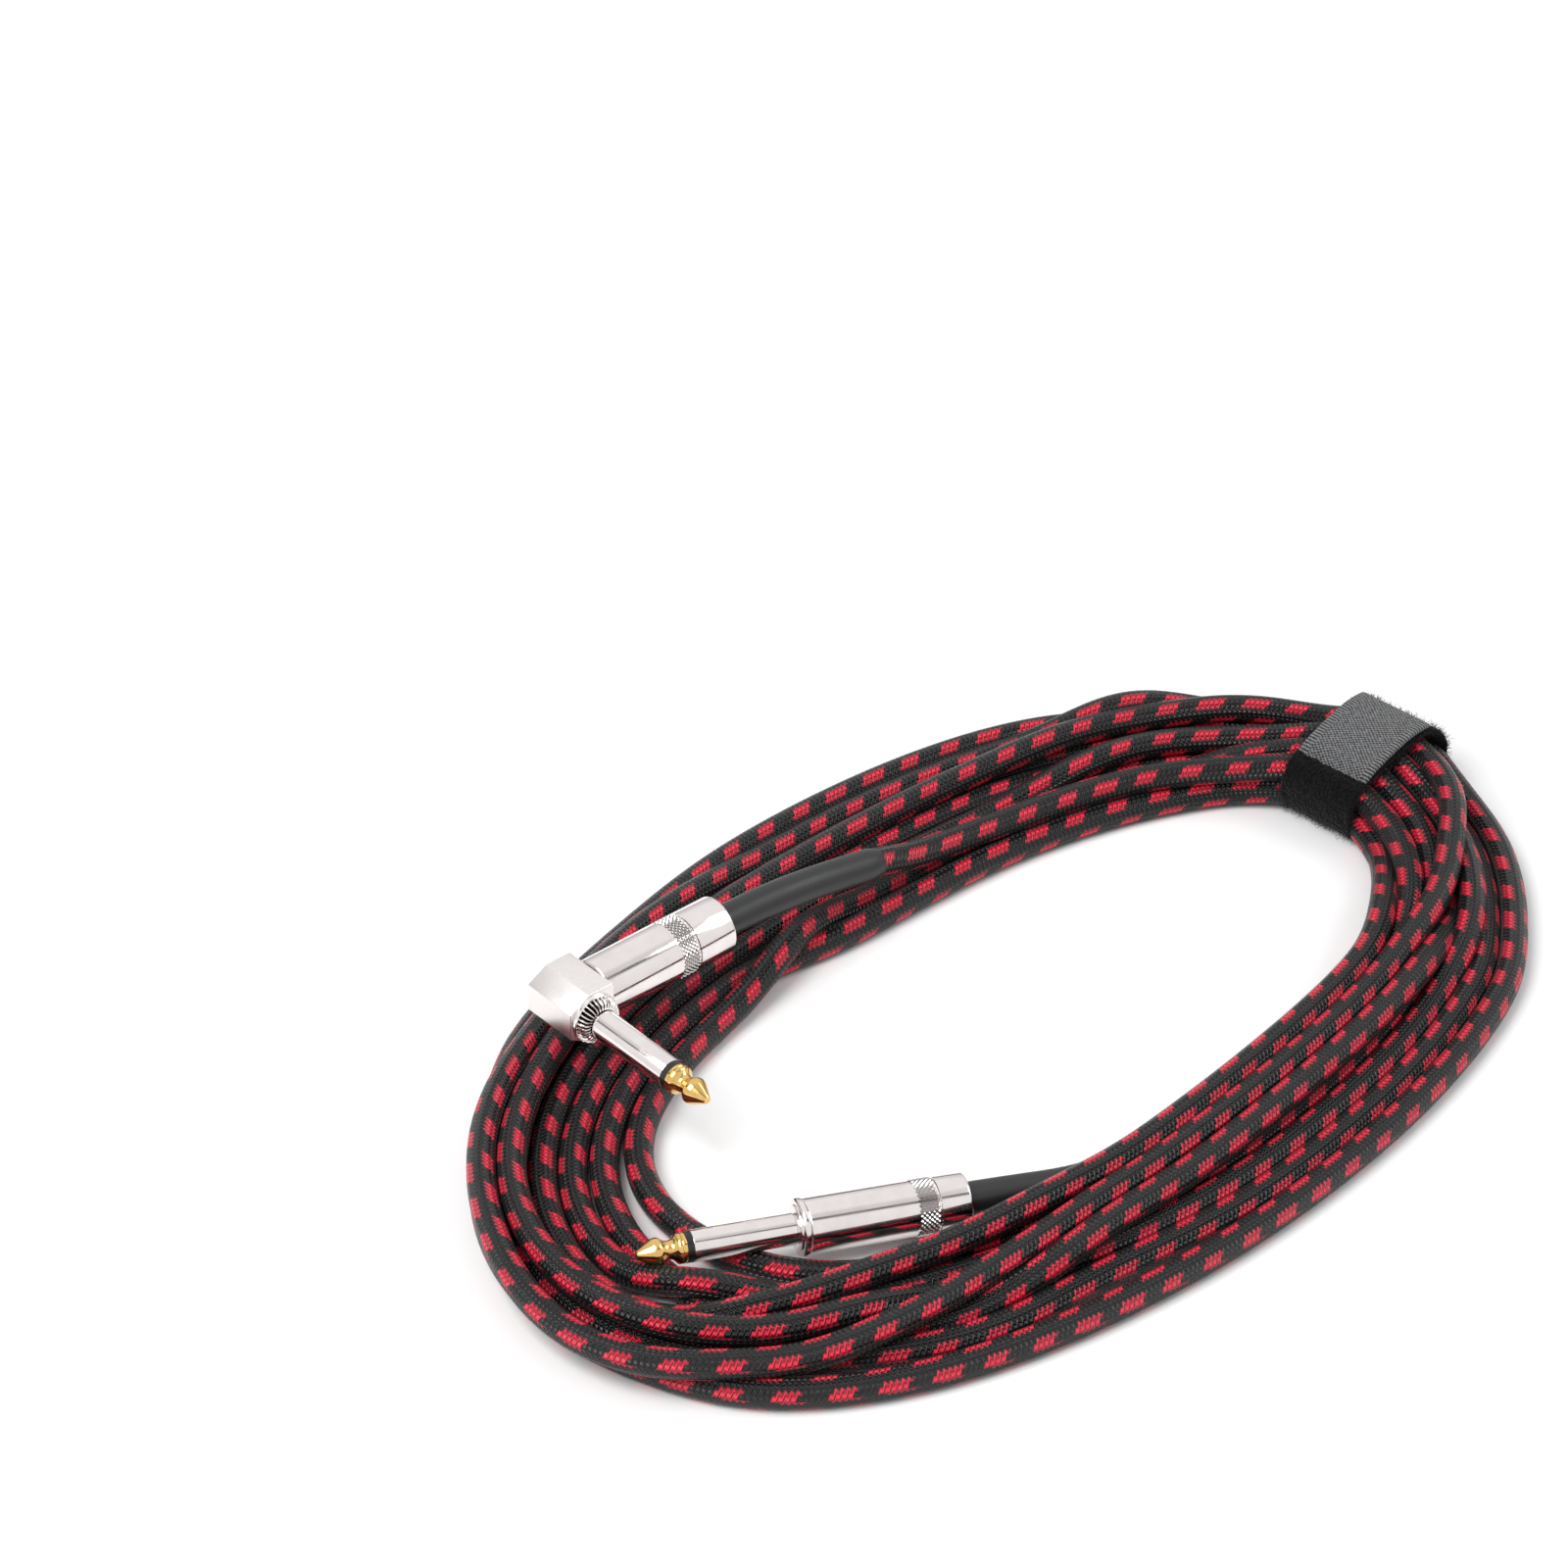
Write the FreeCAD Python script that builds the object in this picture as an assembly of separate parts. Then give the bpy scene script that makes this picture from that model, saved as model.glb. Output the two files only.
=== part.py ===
# Instrument cable: a braided cord coiled into a loose oval hank, held by a hook-and-loop tie,
# with a straight 6.35 mm plug at one end and a right-angle one at the other. Millimetres, +Z up.
# The origin is on the floor under the middle of the part. +X runs along the hank, to the tie.
import FreeCAD, Part
import math
import os

# Cable
cable_diameter = 6.0
core_diameter = 2.4
shield_tail_diameter = 1.4

# Hank: two piled layers that spiral out, climb where they reverse, and spiral in again
turns_per_layer = 4
turn_pitch = 6.5
hank_half_length = 132.0
hank_half_width = 74.5
layer_gap = 1.75
layer_shift = 4.25
foot_cut = 0.5
hank_end_radius = 60.5
climb_end_radius = 72.0
hank_start_reach = 22.0
hank_end_reach = 58.0
hank_tuck = 0.7
gap_sample = 2.0

# Plug contacts, common to both plugs
shaft_radius = 3.175
shaft_length = 32.0
shank_radius = 2.95
undercut_length = 0.5
tip_length = 9.6
insulator_ring_length = 1.3
insulator_ring_inset = 0.05
tip_nose_radius = 0.8
tip_bulb_radius = 2.8
tip_bulb_start = 3.4
tip_bulb_end = 4.6
tip_neck_radius = 1.85
tip_neck_start = 6.2
tip_neck_end = 6.9
tip_collar_radius = 3.1
tip_collar_start = 8.0
rod_radius = 1.1
rod_head_radius = 1.8
rod_head_length = 0.8
rod_depth_in_tip = 3.0
inner_insulator_wall = 0.6
assembly_clearance = 0.03

# Barrels, necks and what they hide
neck_length = 8.0
thread_clearance = 0.05
seat_gap = 0.05
barrel_rear_wall = 1.5
barrel_edge = 0.45
liner_wall = 0.4
liner_clearance = 0.1
liner_end_gap = 0.8
lug_thickness = 0.6
rear_washer_thickness = 1.2
rear_washer_radius = 2.8
tip_lug_width = 2.6
tip_lug_overlap = 3.0
strap_width = 4.0
clamp_length = 3.5
clamp_arc = 200.0
jacket_grip = 11.5
clamp_setback = 2.0
core_setback = 2.8
core_bare_length = 7.5
shield_tail_length = 6.0

# Heat-shrink sleeves
shrink_wall = 0.45
shrink_clearance = 0.05
shrink_inside = 5.5
shrink_hole_clearance = 0.25

# Straight plug: where its tip's nose lies, in from the hank's far end and from its near side
straight_nose_end_inset = 26.94
straight_nose_side_inset = 76.43
straight_nose_height = 9.83
straight_heading = -29.0
straight_droop = 3.2
straight_barrel_radius = 5.6
straight_barrel_length = 33.0
straight_neck_radius = 4.7
flange_radius = 5.9
flange_thickness = 1.8
flange_edge = 0.5
flange_step_radius = 4.7
flange_step_height = 0.35

# Right-angle plug: its barrel lies on the upper layer, and its shaft points in across the hank. Its
# head is this far in from the hank's end and from its side.
elbow_end_inset = 65.62
elbow_side_inset = 17.35
elbow_heading = -6.0
elbow_barrel_radius = 6.3
elbow_barrel_length = 32.9
elbow_neck_radius = 5.3
head_depth = 13.6
head_end_reach = 5.8
head_neck_reach = 5.5
head_slope_run = 4.9
head_slope_drop = 2.7
head_neck_bevel = 0.5
head_half_height = 5.85
head_cavity_radius = 3.4
head_cavity_end = 3.2
collar_boss_radius = 5.4
collar_boss_height = 1.2
collar_ring_radius = 4.8
collar_ring_height = 1.8
rest_gap = 0.3

# Cable tie
band_width = 20.0
band_thickness = 1.2
band_clearance = 0.3
band_slack = 3.4
tab_width = 18.5
tab_length = 23.0
tab_thickness = 1.5
tab_overhang = 3.8

# Leads: where they bend on their way from the barrel to the hank, as a share of the way, and how far
# aside and above a straight way
lead_straight_length = 8.0
lead_last_run = 18.0
straight_bend_share = 0.354
straight_bend_aside = -6.74
elbow_first_bend_share = 0.308
elbow_first_bend_aside = 0.23
elbow_first_bend_above = 0.71
elbow_second_bend_share = 0.517
elbow_second_bend_aside = 0.81
elbow_second_bend_above = -1.49

# Worked out from the sizes above
cable_radius = cable_diameter / 2
lower_layer_z = cable_radius - foot_cut
layer_rise = cable_diameter + layer_gap
upper_layer_z = lower_layer_z + layer_rise
tie_lift = band_thickness + band_clearance + foot_cut
hank_centre_x = -(band_clearance + band_thickness + turn_pitch / 2) / 2
shrink_bore = cable_radius + shrink_clearance
shrink_radius = shrink_bore + shrink_wall
inner_insulator_radius = rod_radius + assembly_clearance + inner_insulator_wall
contact_bore = inner_insulator_radius + assembly_clearance
strap_inner = cable_radius + assembly_clearance
strap_outer = strap_inner + lug_thickness
insulator_front = shaft_length - tip_length
sleeve_front = insulator_front - insulator_ring_length
lead_floor_z = shrink_radius + seat_gap
elbow_shoulder = head_depth / 2 + collar_boss_height + collar_ring_height


def cylinder(start, end, radius):
    return Part.makeCylinder(radius, end - start, FreeCAD.Vector(start, 0, 0), FreeCAD.Vector(1, 0, 0))


def tube(start, end, outer, inner):
    return cylinder(start, end, outer).cut(cylinder(start, end, inner))


def box(x0, x1, y0, y1, z0, z1):
    return Part.makeBox(x1 - x0, y1 - y0, z1 - z0, FreeCAD.Vector(x0, y0, z0))


def turned(profile):
    points = [FreeCAD.Vector(x, 0, r) for x, r in profile]
    face = Part.Face(Part.makePolygon(points + [points[0]]))
    return face.revolve(FreeCAD.Vector(0, 0, 0), FreeCAD.Vector(1, 0, 0), 360)


def placed(shape, placement):
    copy = shape.copy()
    copy.Placement = placement.multiply(copy.Placement)
    return copy


def arc_from_tangent(start, tangent, end):
    chord = end - start
    along = chord.normalize()
    length = start.distanceToPoint(end)
    aside = tangent - along * tangent.dot(along)
    half_turn = math.atan2(aside.Length, tangent.dot(along))
    if half_turn < 1e-6:
        return Part.LineSegment(start, end).toShape()
    middle = (start + end) * 0.5 + aside.normalize() * (length / 2 * math.tan(half_turn / 2))
    return Part.Arc(start, middle, end).toShape()


# Two arcs that meet in one tangent have a corner each. With one corner's distance from its end of the
# span chosen, this is the other one's.
def other_reach(span, tangent, other_tangent, reach):
    ahead = span.dot(other_tangent) + reach * (1 - tangent.dot(other_tangent))
    return (span.dot(span) / 2 - reach * span.dot(tangent)) / ahead


def biarc(start, start_tangent, end, end_tangent, first_reach, last_reach):
    first_corner = start + start_tangent * first_reach
    last_corner = end - end_tangent * last_reach
    joint_tangent = (last_corner - first_corner).normalize()
    joint = first_corner + joint_tangent * first_reach
    return [
        arc_from_tangent(start, start_tangent, joint),
        arc_from_tangent(joint, joint_tangent, end),
    ]


def sweep_tube(edges, radius):
    first = edges[0]
    start = first.valueAt(first.FirstParameter)
    heading = first.tangentAt(first.FirstParameter)
    section = Part.Wire([Part.makeCircle(radius, start, heading)])
    return Part.Wire(edges).makePipeShell([section], True, False)


# A place on the hank's spiral at a quarter turn. Turns are counted from where the spiral reverses:
# below zero on the lower layer, above zero on the upper one.
def hank_place(turn):
    angle = 2 * math.pi * turn
    across = math.cos(angle)
    up = math.sin(angle)
    half_length = hank_half_length - turn_pitch * abs(turn)
    half_width = hank_half_width - turn_pitch * abs(turn)
    side = max(-1.0, min(1.0, 4 * turn))
    inward = -turn_pitch * ((turn > 0) - (turn < 0))
    climb = 2 * layer_rise if turn == 0 else 0.0
    height = lower_layer_z + layer_rise * (1 + side) / 2 + tie_lift * max(0.0, across)
    point = FreeCAD.Vector(hank_centre_x + half_length * across, side * layer_shift + half_width * up, height)
    tangent = FreeCAD.Vector(
        inward * across - 2 * math.pi * half_length * up,
        inward * up + 2 * math.pi * half_width * across,
        climb,
    )
    return turn, point, tangent.normalize()


# Each quarter turn is one arc round the hank's end and one flatter arc along its side. The turns of
# a layer share the centres of these arcs, so that they lie side by side.
def quarter_shape(turn):
    half_length = hank_half_length - turn_pitch * abs(turn)
    half_width = hank_half_width - turn_pitch * abs(turn)
    end_radius = hank_end_radius - turn_pitch * abs(turn)
    if abs(turn) < 0.25:
        half_width += layer_shift
        end_radius = climb_end_radius
    along = half_length - end_radius
    aside = half_width - end_radius
    centres_apart = (along ** 2 + aside ** 2) / (2 * aside)
    end_turn = math.acos(along / centres_apart)
    return end_radius * math.tan(end_turn / 2), end_radius + centres_apart


# The hank starts and ends on the side of its innermost turns, short of their middle and tucked in a
# little, so that the straight ends of the cable clear the turn beside them
def hank_limit(side, reach, height):
    inner_half_length = hank_half_length - turn_pitch * turns_per_layer
    turn = turns_per_layer + (1 - reach / inner_half_length / 2) / 4
    half_width = hank_half_width - turn_pitch * turn
    side_radius = quarter_shape(turn)[1]
    turned_by = math.asin(reach / side_radius)
    rise = side_radius * (1 - math.cos(turned_by))
    heading = turned_by - turn_pitch / (2 * math.pi * inner_half_length)
    heading -= 2 * hank_tuck / (inner_half_length - reach)
    aside = layer_shift + half_width - rise - hank_tuck
    place = FreeCAD.Vector(hank_centre_x + reach, side * aside, height)
    return side * turn, place, FreeCAD.Vector(-side * math.cos(heading), math.sin(heading), 0)


def hank_start():
    return hank_limit(-1, hank_start_reach, lead_floor_z)


def hank_end():
    return hank_limit(1, hank_end_reach, upper_layer_z)


def hank_edges():
    quarters = range(-4 * turns_per_layer, 4 * turns_per_layer + 1)
    stations = [hank_start()] + [hank_place(quarter / 4) for quarter in quarters] + [hank_end()]
    first_turn, start, start_tangent = stations[0]
    last_turn, end, end_tangent = stations[-1]
    edges = [Part.LineSegment(start - start_tangent * cable_diameter, start).toShape()]
    from_side = True
    for (turn, near, near_tangent), (next_turn, far, far_tangent) in zip(stations, stations[1:]):
        reach = quarter_shape((turn + next_turn) / 2)[0]
        if from_side:
            side_reach = other_reach(far - near, far_tangent, near_tangent, reach)
            edges += biarc(near, near_tangent, far, far_tangent, side_reach, reach)
        else:
            side_reach = other_reach(far - near, near_tangent, far_tangent, reach)
            edges += biarc(near, near_tangent, far, far_tangent, reach, side_reach)
        from_side = not from_side
    edges.append(Part.LineSegment(end, end + end_tangent * cable_diameter).toShape())
    return edges


def least_gap(edges, radius):
    points = []
    travelled = 0.0
    for edge in edges:
        count = max(2, int(edge.Length / gap_sample))
        for place in edge.discretize(count + 1)[:-1]:
            points.append((travelled, place.x, place.y, place.z))
            travelled += edge.Length / count
    least = 1e9
    for number, (along, x, y, z) in enumerate(points):
        for other_along, other_x, other_y, other_z in points[number + 1:]:
            if other_along - along > 8 * radius:
                apart = (x - other_x) ** 2 + (y - other_y) ** 2 + (z - other_z) ** 2
                least = min(least, apart)
    return math.sqrt(least) - 2 * radius


def cable_coil():
    edges = hank_edges()
    solid = sweep_tube(edges, cable_radius)
    length = sum(edge.Length for edge in edges)
    radii = [edge.Curve.Radius for edge in edges if hasattr(edge.Curve, "Radius")]
    print("hank: length %.0f mm, least radius %.1f mm" % (length, min(radii)))
    print("hank: least gap to itself %.2f mm" % least_gap(edges, cable_radius))
    print("hank: volume over section times length %.4f" % (solid.Volume / (math.pi * cable_radius ** 2 * length)))
    reach = hank_half_length + cable_diameter
    floor = box(-2 * reach, 2 * reach, -reach, reach, -cable_diameter, 0)
    return solid.cut(floor)


# The arc that rounds each bend of a lead, as where it starts, its middle and where it ends
def bends(points):
    found = []
    for before, corner, after in zip(points, points[1:], points[2:]):
        arriving = (corner - before).normalize()
        leaving = (after - corner).normalize()
        shorter = min(before.distanceToPoint(corner), corner.distanceToPoint(after))
        trim = 0.45 * shorter
        half_turn = arriving.getAngle(leaving) / 2
        radius = trim / math.tan(half_turn)
        inward = (leaving - arriving).normalize()
        depth = radius / math.cos(half_turn) - radius
        found.append((corner - arriving * trim, corner + inward * depth, corner + leaving * trim, radius))
    return found


def bent_edges(start, found, end):
    edges = []
    place = start
    for entry, middle, leave, radius in found:
        edges.append(Part.LineSegment(place, entry).toShape())
        edges.append(Part.Arc(entry, middle, leave).toShape())
        place = leave
    edges.append(Part.LineSegment(place, end).toShape())
    return edges


def lead(name, route):
    found = bends(route)
    edges = bent_edges(route[0], found, route[-1])
    solid = sweep_tube(edges, cable_radius)
    length = sum(edge.Length for edge in edges)
    section = math.pi * cable_radius ** 2
    print("%s: length %.0f mm, radii %s" % (name, length, " ".join("%.0f" % bend[3] for bend in found)))
    print("%s: volume over section times length %.4f" % (name, solid.Volume / (section * length)))
    return solid


def heat_shrink(route, rear, heading):
    found = bends(route)[:2]
    end = (route[2] + route[3]) * 0.5
    edges = bent_edges(rear - heading * shrink_inside, found, end)
    return sweep_tube(edges, shrink_radius).cut(sweep_tube(edges, shrink_bore))


# Contacts on the shaft's own axis: the shoulder at x = 0, the tip towards +X
def tip_contact():
    nose = shaft_length
    solid = turned([
        (insulator_front, 0),
        (insulator_front, tip_collar_radius),
        (nose - tip_collar_start, tip_collar_radius),
        (nose - tip_neck_end, tip_neck_radius),
        (nose - tip_neck_start, tip_neck_radius),
        (nose - tip_bulb_end, tip_bulb_radius),
        (nose - tip_bulb_start, tip_bulb_radius),
        (nose, tip_nose_radius),
        (nose, 0),
    ])
    socket = cylinder(insulator_front, insulator_front + rod_depth_in_tip, rod_radius + assembly_clearance)
    return solid.cut(socket)


# The sleeve's shank is turned down where it sits in the plug, and a little past the shoulder
def contact_sleeve(rear):
    shank = cylinder(rear, undercut_length, shank_radius)
    return shank.fuse(cylinder(undercut_length, sleeve_front, shaft_radius)).removeSplitter()


def insulator_ring():
    outer = shaft_radius - insulator_ring_inset
    return tube(sleeve_front, insulator_front, outer, rod_radius + assembly_clearance)


def inner_insulator(rear):
    return tube(rear, sleeve_front, inner_insulator_radius, rod_radius + assembly_clearance)


# What lies behind the barrel's front rim, on the barrel's axis: the rim at x = 0, the cable towards +X
def barrel(radius, length, bore):
    solid = cylinder(seat_gap, length, radius)
    rear_edges = [edge for edge in solid.Edges if edge.BoundBox.XMin > length - seat_gap]
    solid = solid.makeFillet(barrel_edge, rear_edges)
    solid = solid.cut(cylinder(0, length - barrel_rear_wall, bore))
    return solid.cut(cylinder(0, length, shrink_radius + shrink_hole_clearance))


def liner(length, bore):
    outer = bore - liner_clearance
    start = neck_length + lug_thickness / 2
    return tube(start, length - barrel_rear_wall - liner_end_gap, outer, outer - liner_wall)


def ground_lug(length, plate_radius, plate_bore):
    clamp_start = length - jacket_grip + clamp_setback
    clamp_end = clamp_start + clamp_length
    plate = tube(neck_length, neck_length + lug_thickness, plate_radius, plate_bore)
    strap = box(neck_length, clamp_end, -strap_width / 2, strap_width / 2, -strap_outer, -strap_inner)
    opening_half = math.radians((360 - clamp_arc) / 2)
    clamp = tube(clamp_start, clamp_end, strap_outer, strap_inner)
    clear_above = strap_inner * math.cos(opening_half)
    clamp = clamp.cut(box(clamp_start, clamp_end, -strap_outer, strap_outer, clear_above, strap_outer))
    joined = plate.fuse([strap, clamp]).removeSplitter()
    return joined.cut(cylinder(neck_length, clamp_end, plate_bore if plate_bore < strap_inner else strap_inner))


def shield_tail(length):
    jacket_end = length - jacket_grip
    drop = strap_inner - assembly_clearance - shield_tail_diameter / 2
    tail = cylinder(jacket_end - shield_tail_length, jacket_end, shield_tail_diameter / 2)
    tail.translate(FreeCAD.Vector(0, 0, -drop))
    return tail


def straight_frames():
    turn = FreeCAD.Rotation(FreeCAD.Vector(0, 0, 1), straight_heading)
    droop = FreeCAD.Rotation(FreeCAD.Vector(0, 1, 0), straight_droop)
    rotation = turn.multiply(droop)
    heading = rotation.multVec(FreeCAD.Vector(1, 0, 0))
    nose = FreeCAD.Vector(
        hank_centre_x - hank_half_length + straight_nose_end_inset,
        straight_nose_side_inset - hank_half_width,
        straight_nose_height,
    )
    rim = FreeCAD.Placement(nose + heading * (shaft_length + flange_thickness), rotation)
    about = FreeCAD.Rotation(FreeCAD.Vector(0, 0, 1), 180)
    shaft = rim.multiply(FreeCAD.Placement(FreeCAD.Vector(-flange_thickness, 0, 0), about))
    rear = rim.multVec(FreeCAD.Vector(straight_barrel_length, 0, 0))
    return rim, shaft, heading, rear


# A point of a lead, at a share of the way from its barrel to the hank
def lead_point(rear, end, share, aside, above):
    return rear + (end - rear) * share + FreeCAD.Vector(0, aside, above)


# The cable leaves the barrel straight, and ends in line with the hank's end
def lead_route(rear, heading, bend_points, end, onward):
    return [
        rear - heading * jacket_grip,
        rear + heading * lead_straight_length,
        *bend_points,
        end - onward * (cable_diameter + lead_last_run),
        end - onward * cable_diameter,
    ]


def straight_lead_route():
    rim, shaft, heading, rear = straight_frames()
    turn, start, tangent = hank_start()
    bend = lead_point(rear, start, straight_bend_share, straight_bend_aside, 0)
    bend.z = lead_floor_z
    return lead_route(rear, heading, [bend], start, tangent)


def straight_plug(parts):
    rim, shaft, heading, rear = straight_frames()
    bore = straight_neck_radius + thread_clearance
    neck_rear = -flange_thickness - neck_length
    flange = cylinder(-flange_thickness, -flange_step_height, flange_radius)
    flange = flange.makeFillet(flange_edge, [edge for edge in flange.Edges if edge.Length > flange_radius])
    sleeve = flange.fuse([
        cylinder(-flange_step_height, 0, flange_step_radius),
        contact_sleeve(0),
        cylinder(neck_rear, -flange_thickness, straight_neck_radius),
    ]).removeSplitter()
    sleeve = sleeve.cut(cylinder(neck_rear, sleeve_front, contact_bore))
    washer_start = neck_length + lug_thickness
    lug_start = washer_start + rear_washer_thickness
    lug_end = lug_start + lug_thickness
    rod_rear = -flange_thickness - lug_end
    rod = cylinder(rod_rear, insulator_front + rod_depth_in_tip, rod_radius)
    rod = rod.fuse(cylinder(rod_rear - rod_head_length, rod_rear, rod_head_radius)).removeSplitter()
    core_start = lug_end + rod_head_length + core_setback
    lug_tip = core_start + tip_lug_overlap
    lug_base = rod_head_radius + assembly_clearance
    lug = tube(lug_start, lug_end, lug_base + lug_thickness, rod_radius + assembly_clearance)
    half_lug = tip_lug_width / 2
    lug = lug.fuse(box(lug_start, lug_tip, -half_lug, half_lug, lug_base, lug_base + lug_thickness))
    jacket_end = straight_barrel_length - jacket_grip
    core_radius = core_diameter / 2
    core = cylinder(core_start, jacket_end, core_radius)
    solder = box(core_start, lug_tip, -core_radius / 2, core_radius / 2, 0, lug_base)
    washer = tube(washer_start, lug_start, rear_washer_radius, rod_radius + assembly_clearance)
    route = straight_lead_route()
    parts["straight_tip"] = placed(tip_contact(), shaft)
    parts["straight_insulator_ring"] = placed(insulator_ring(), shaft)
    parts["straight_inner_insulator"] = placed(inner_insulator(neck_rear), shaft)
    parts["straight_tip_rod"] = placed(rod, shaft)
    parts["straight_sleeve"] = placed(sleeve, shaft)
    parts["straight_ground_lug"] = placed(
        ground_lug(straight_barrel_length, strap_outer, contact_bore), rim)
    parts["straight_rear_washer"] = placed(washer, rim)
    parts["straight_tip_lug"] = placed(lug.removeSplitter(), rim)
    parts["straight_core_wire"] = placed(core.fuse(solder).removeSplitter(), rim)
    parts["straight_shield_tail"] = placed(shield_tail(straight_barrel_length), rim)
    parts["straight_liner"] = placed(liner(straight_barrel_length, bore), rim)
    parts["straight_barrel"] = placed(barrel(straight_barrel_radius, straight_barrel_length, bore), rim)
    parts["straight_heat_shrink"] = heat_shrink(route, rear, heading)
    parts["straight_lead"] = lead("straight lead", route)


def elbow_frames():
    rotation = FreeCAD.Rotation(FreeCAD.Vector(0, 0, 1), elbow_heading)
    height = upper_layer_z + cable_radius + rest_gap + elbow_barrel_radius
    origin = FreeCAD.Vector(
        hank_centre_x - hank_half_length + elbow_end_inset, hank_half_width - elbow_side_inset, height)
    head = FreeCAD.Placement(origin, rotation)
    rim = head.multiply(FreeCAD.Placement(FreeCAD.Vector(head_neck_reach, 0, 0), FreeCAD.Rotation()))
    quarter = FreeCAD.Rotation(FreeCAD.Vector(0, 0, 1), -90)
    shaft = head.multiply(FreeCAD.Placement(FreeCAD.Vector(0, -elbow_shoulder, 0), quarter))
    heading = rotation.multVec(FreeCAD.Vector(1, 0, 0))
    rear = rim.multVec(FreeCAD.Vector(elbow_barrel_length, 0, 0))
    return head, rim, shaft, heading, rear


def elbow_lead_route():
    head, rim, shaft, heading, rear = elbow_frames()
    turn, end, tangent = hank_end()
    bend_points = [
        lead_point(rear, end, elbow_first_bend_share, elbow_first_bend_aside, elbow_first_bend_above),
        lead_point(rear, end, elbow_second_bend_share, elbow_second_bend_aside, elbow_second_bend_above),
    ]
    return lead_route(rear, heading, bend_points, end, -tangent)


def elbow_head():
    flat_start = -head_end_reach + head_slope_run
    end_height = head_half_height - head_slope_drop
    upper = [
        (-head_end_reach, end_height),
        (flat_start, head_half_height),
        (head_neck_reach - head_neck_bevel, head_half_height),
        (head_neck_reach, head_half_height - head_neck_bevel),
    ]
    outline = upper + [(x, -z) for x, z in reversed(upper)]
    points = [FreeCAD.Vector(x, -head_depth / 2, z) for x, z in outline]
    block = Part.Face(Part.makePolygon(points + [points[0]])).extrude(FreeCAD.Vector(0, head_depth, 0))
    neck_end = head_neck_reach + neck_length
    solid = block.fuse(cylinder(head_neck_reach, neck_end, elbow_neck_radius)).removeSplitter()
    solid = solid.cut(cylinder(-head_cavity_end, neck_end, head_cavity_radius))
    front_hole = Part.makeCylinder(
        shank_radius + assembly_clearance, head_depth / 2, FreeCAD.Vector(0, 0, 0), FreeCAD.Vector(0, -1, 0))
    return solid.cut(front_hole)


def elbow_plug(parts):
    head, rim, shaft, heading, rear = elbow_frames()
    bore = elbow_neck_radius + thread_clearance
    sleeve_rear = -(elbow_shoulder - head_cavity_radius)
    sleeve = contact_sleeve(sleeve_rear).cut(cylinder(sleeve_rear, sleeve_front, contact_bore))
    collar_bore = shank_radius + assembly_clearance
    collar = cylinder(-collar_ring_height, 0, collar_ring_radius)
    collar = collar.fuse(cylinder(-collar_ring_height - collar_boss_height, -collar_ring_height, collar_boss_radius))
    collar = collar.cut(cylinder(-elbow_shoulder, 0, collar_bore)).removeSplitter()
    washer_rear = sleeve_rear - lug_thickness
    washer = tube(washer_rear, sleeve_rear, rear_washer_radius, rod_radius + assembly_clearance)
    lug_rear = washer_rear - lug_thickness
    rod = cylinder(lug_rear, insulator_front + rod_depth_in_tip, rod_radius)
    rod = rod.fuse(cylinder(lug_rear - rod_head_length, lug_rear, rod_head_radius)).removeSplitter()
    jacket_end = elbow_barrel_length - jacket_grip
    core_start = jacket_end - core_bare_length
    lug_tip = head_neck_reach + core_start + tip_lug_overlap
    lug_front_y = -(elbow_shoulder + washer_rear)
    lug_back_y = -(elbow_shoulder + lug_rear)
    half_lug = tip_lug_width / 2
    lug = box(-rod_head_radius, lug_tip, lug_front_y, lug_back_y, -half_lug, half_lug)
    lug = lug.cut(Part.makeCylinder(
        rod_radius + assembly_clearance, head_depth, FreeCAD.Vector(0, 0, 0), FreeCAD.Vector(0, -1, 0)))
    core_radius = core_diameter / 2
    core = cylinder(core_start, jacket_end, core_radius)
    solder = box(core_start, core_start + tip_lug_overlap, lug_back_y, 0, -core_radius / 2, core_radius / 2)
    route = elbow_lead_route()
    parts["elbow_tip"] = placed(tip_contact(), shaft)
    parts["elbow_insulator_ring"] = placed(insulator_ring(), shaft)
    parts["elbow_inner_insulator"] = placed(inner_insulator(sleeve_rear), shaft)
    parts["elbow_tip_rod"] = placed(rod, shaft)
    parts["elbow_sleeve"] = placed(sleeve, shaft)
    parts["elbow_shaft_collar"] = placed(collar, shaft)
    parts["elbow_head"] = placed(elbow_head(), head)
    parts["elbow_ground_lug"] = placed(
        ground_lug(elbow_barrel_length, elbow_neck_radius - liner_wall - liner_clearance, head_cavity_radius), rim)
    parts["elbow_rear_washer"] = placed(washer, shaft)
    parts["elbow_tip_lug"] = placed(lug, head)
    parts["elbow_core_wire"] = placed(core.fuse(solder).removeSplitter(), rim)
    parts["elbow_shield_tail"] = placed(shield_tail(elbow_barrel_length), rim)
    parts["elbow_liner"] = placed(liner(elbow_barrel_length, bore), rim)
    parts["elbow_barrel"] = placed(barrel(elbow_barrel_radius, elbow_barrel_length, bore), rim)
    parts["elbow_heat_shrink"] = heat_shrink(route, rear, heading)
    parts["elbow_lead"] = lead("elbow lead", route)


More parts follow.
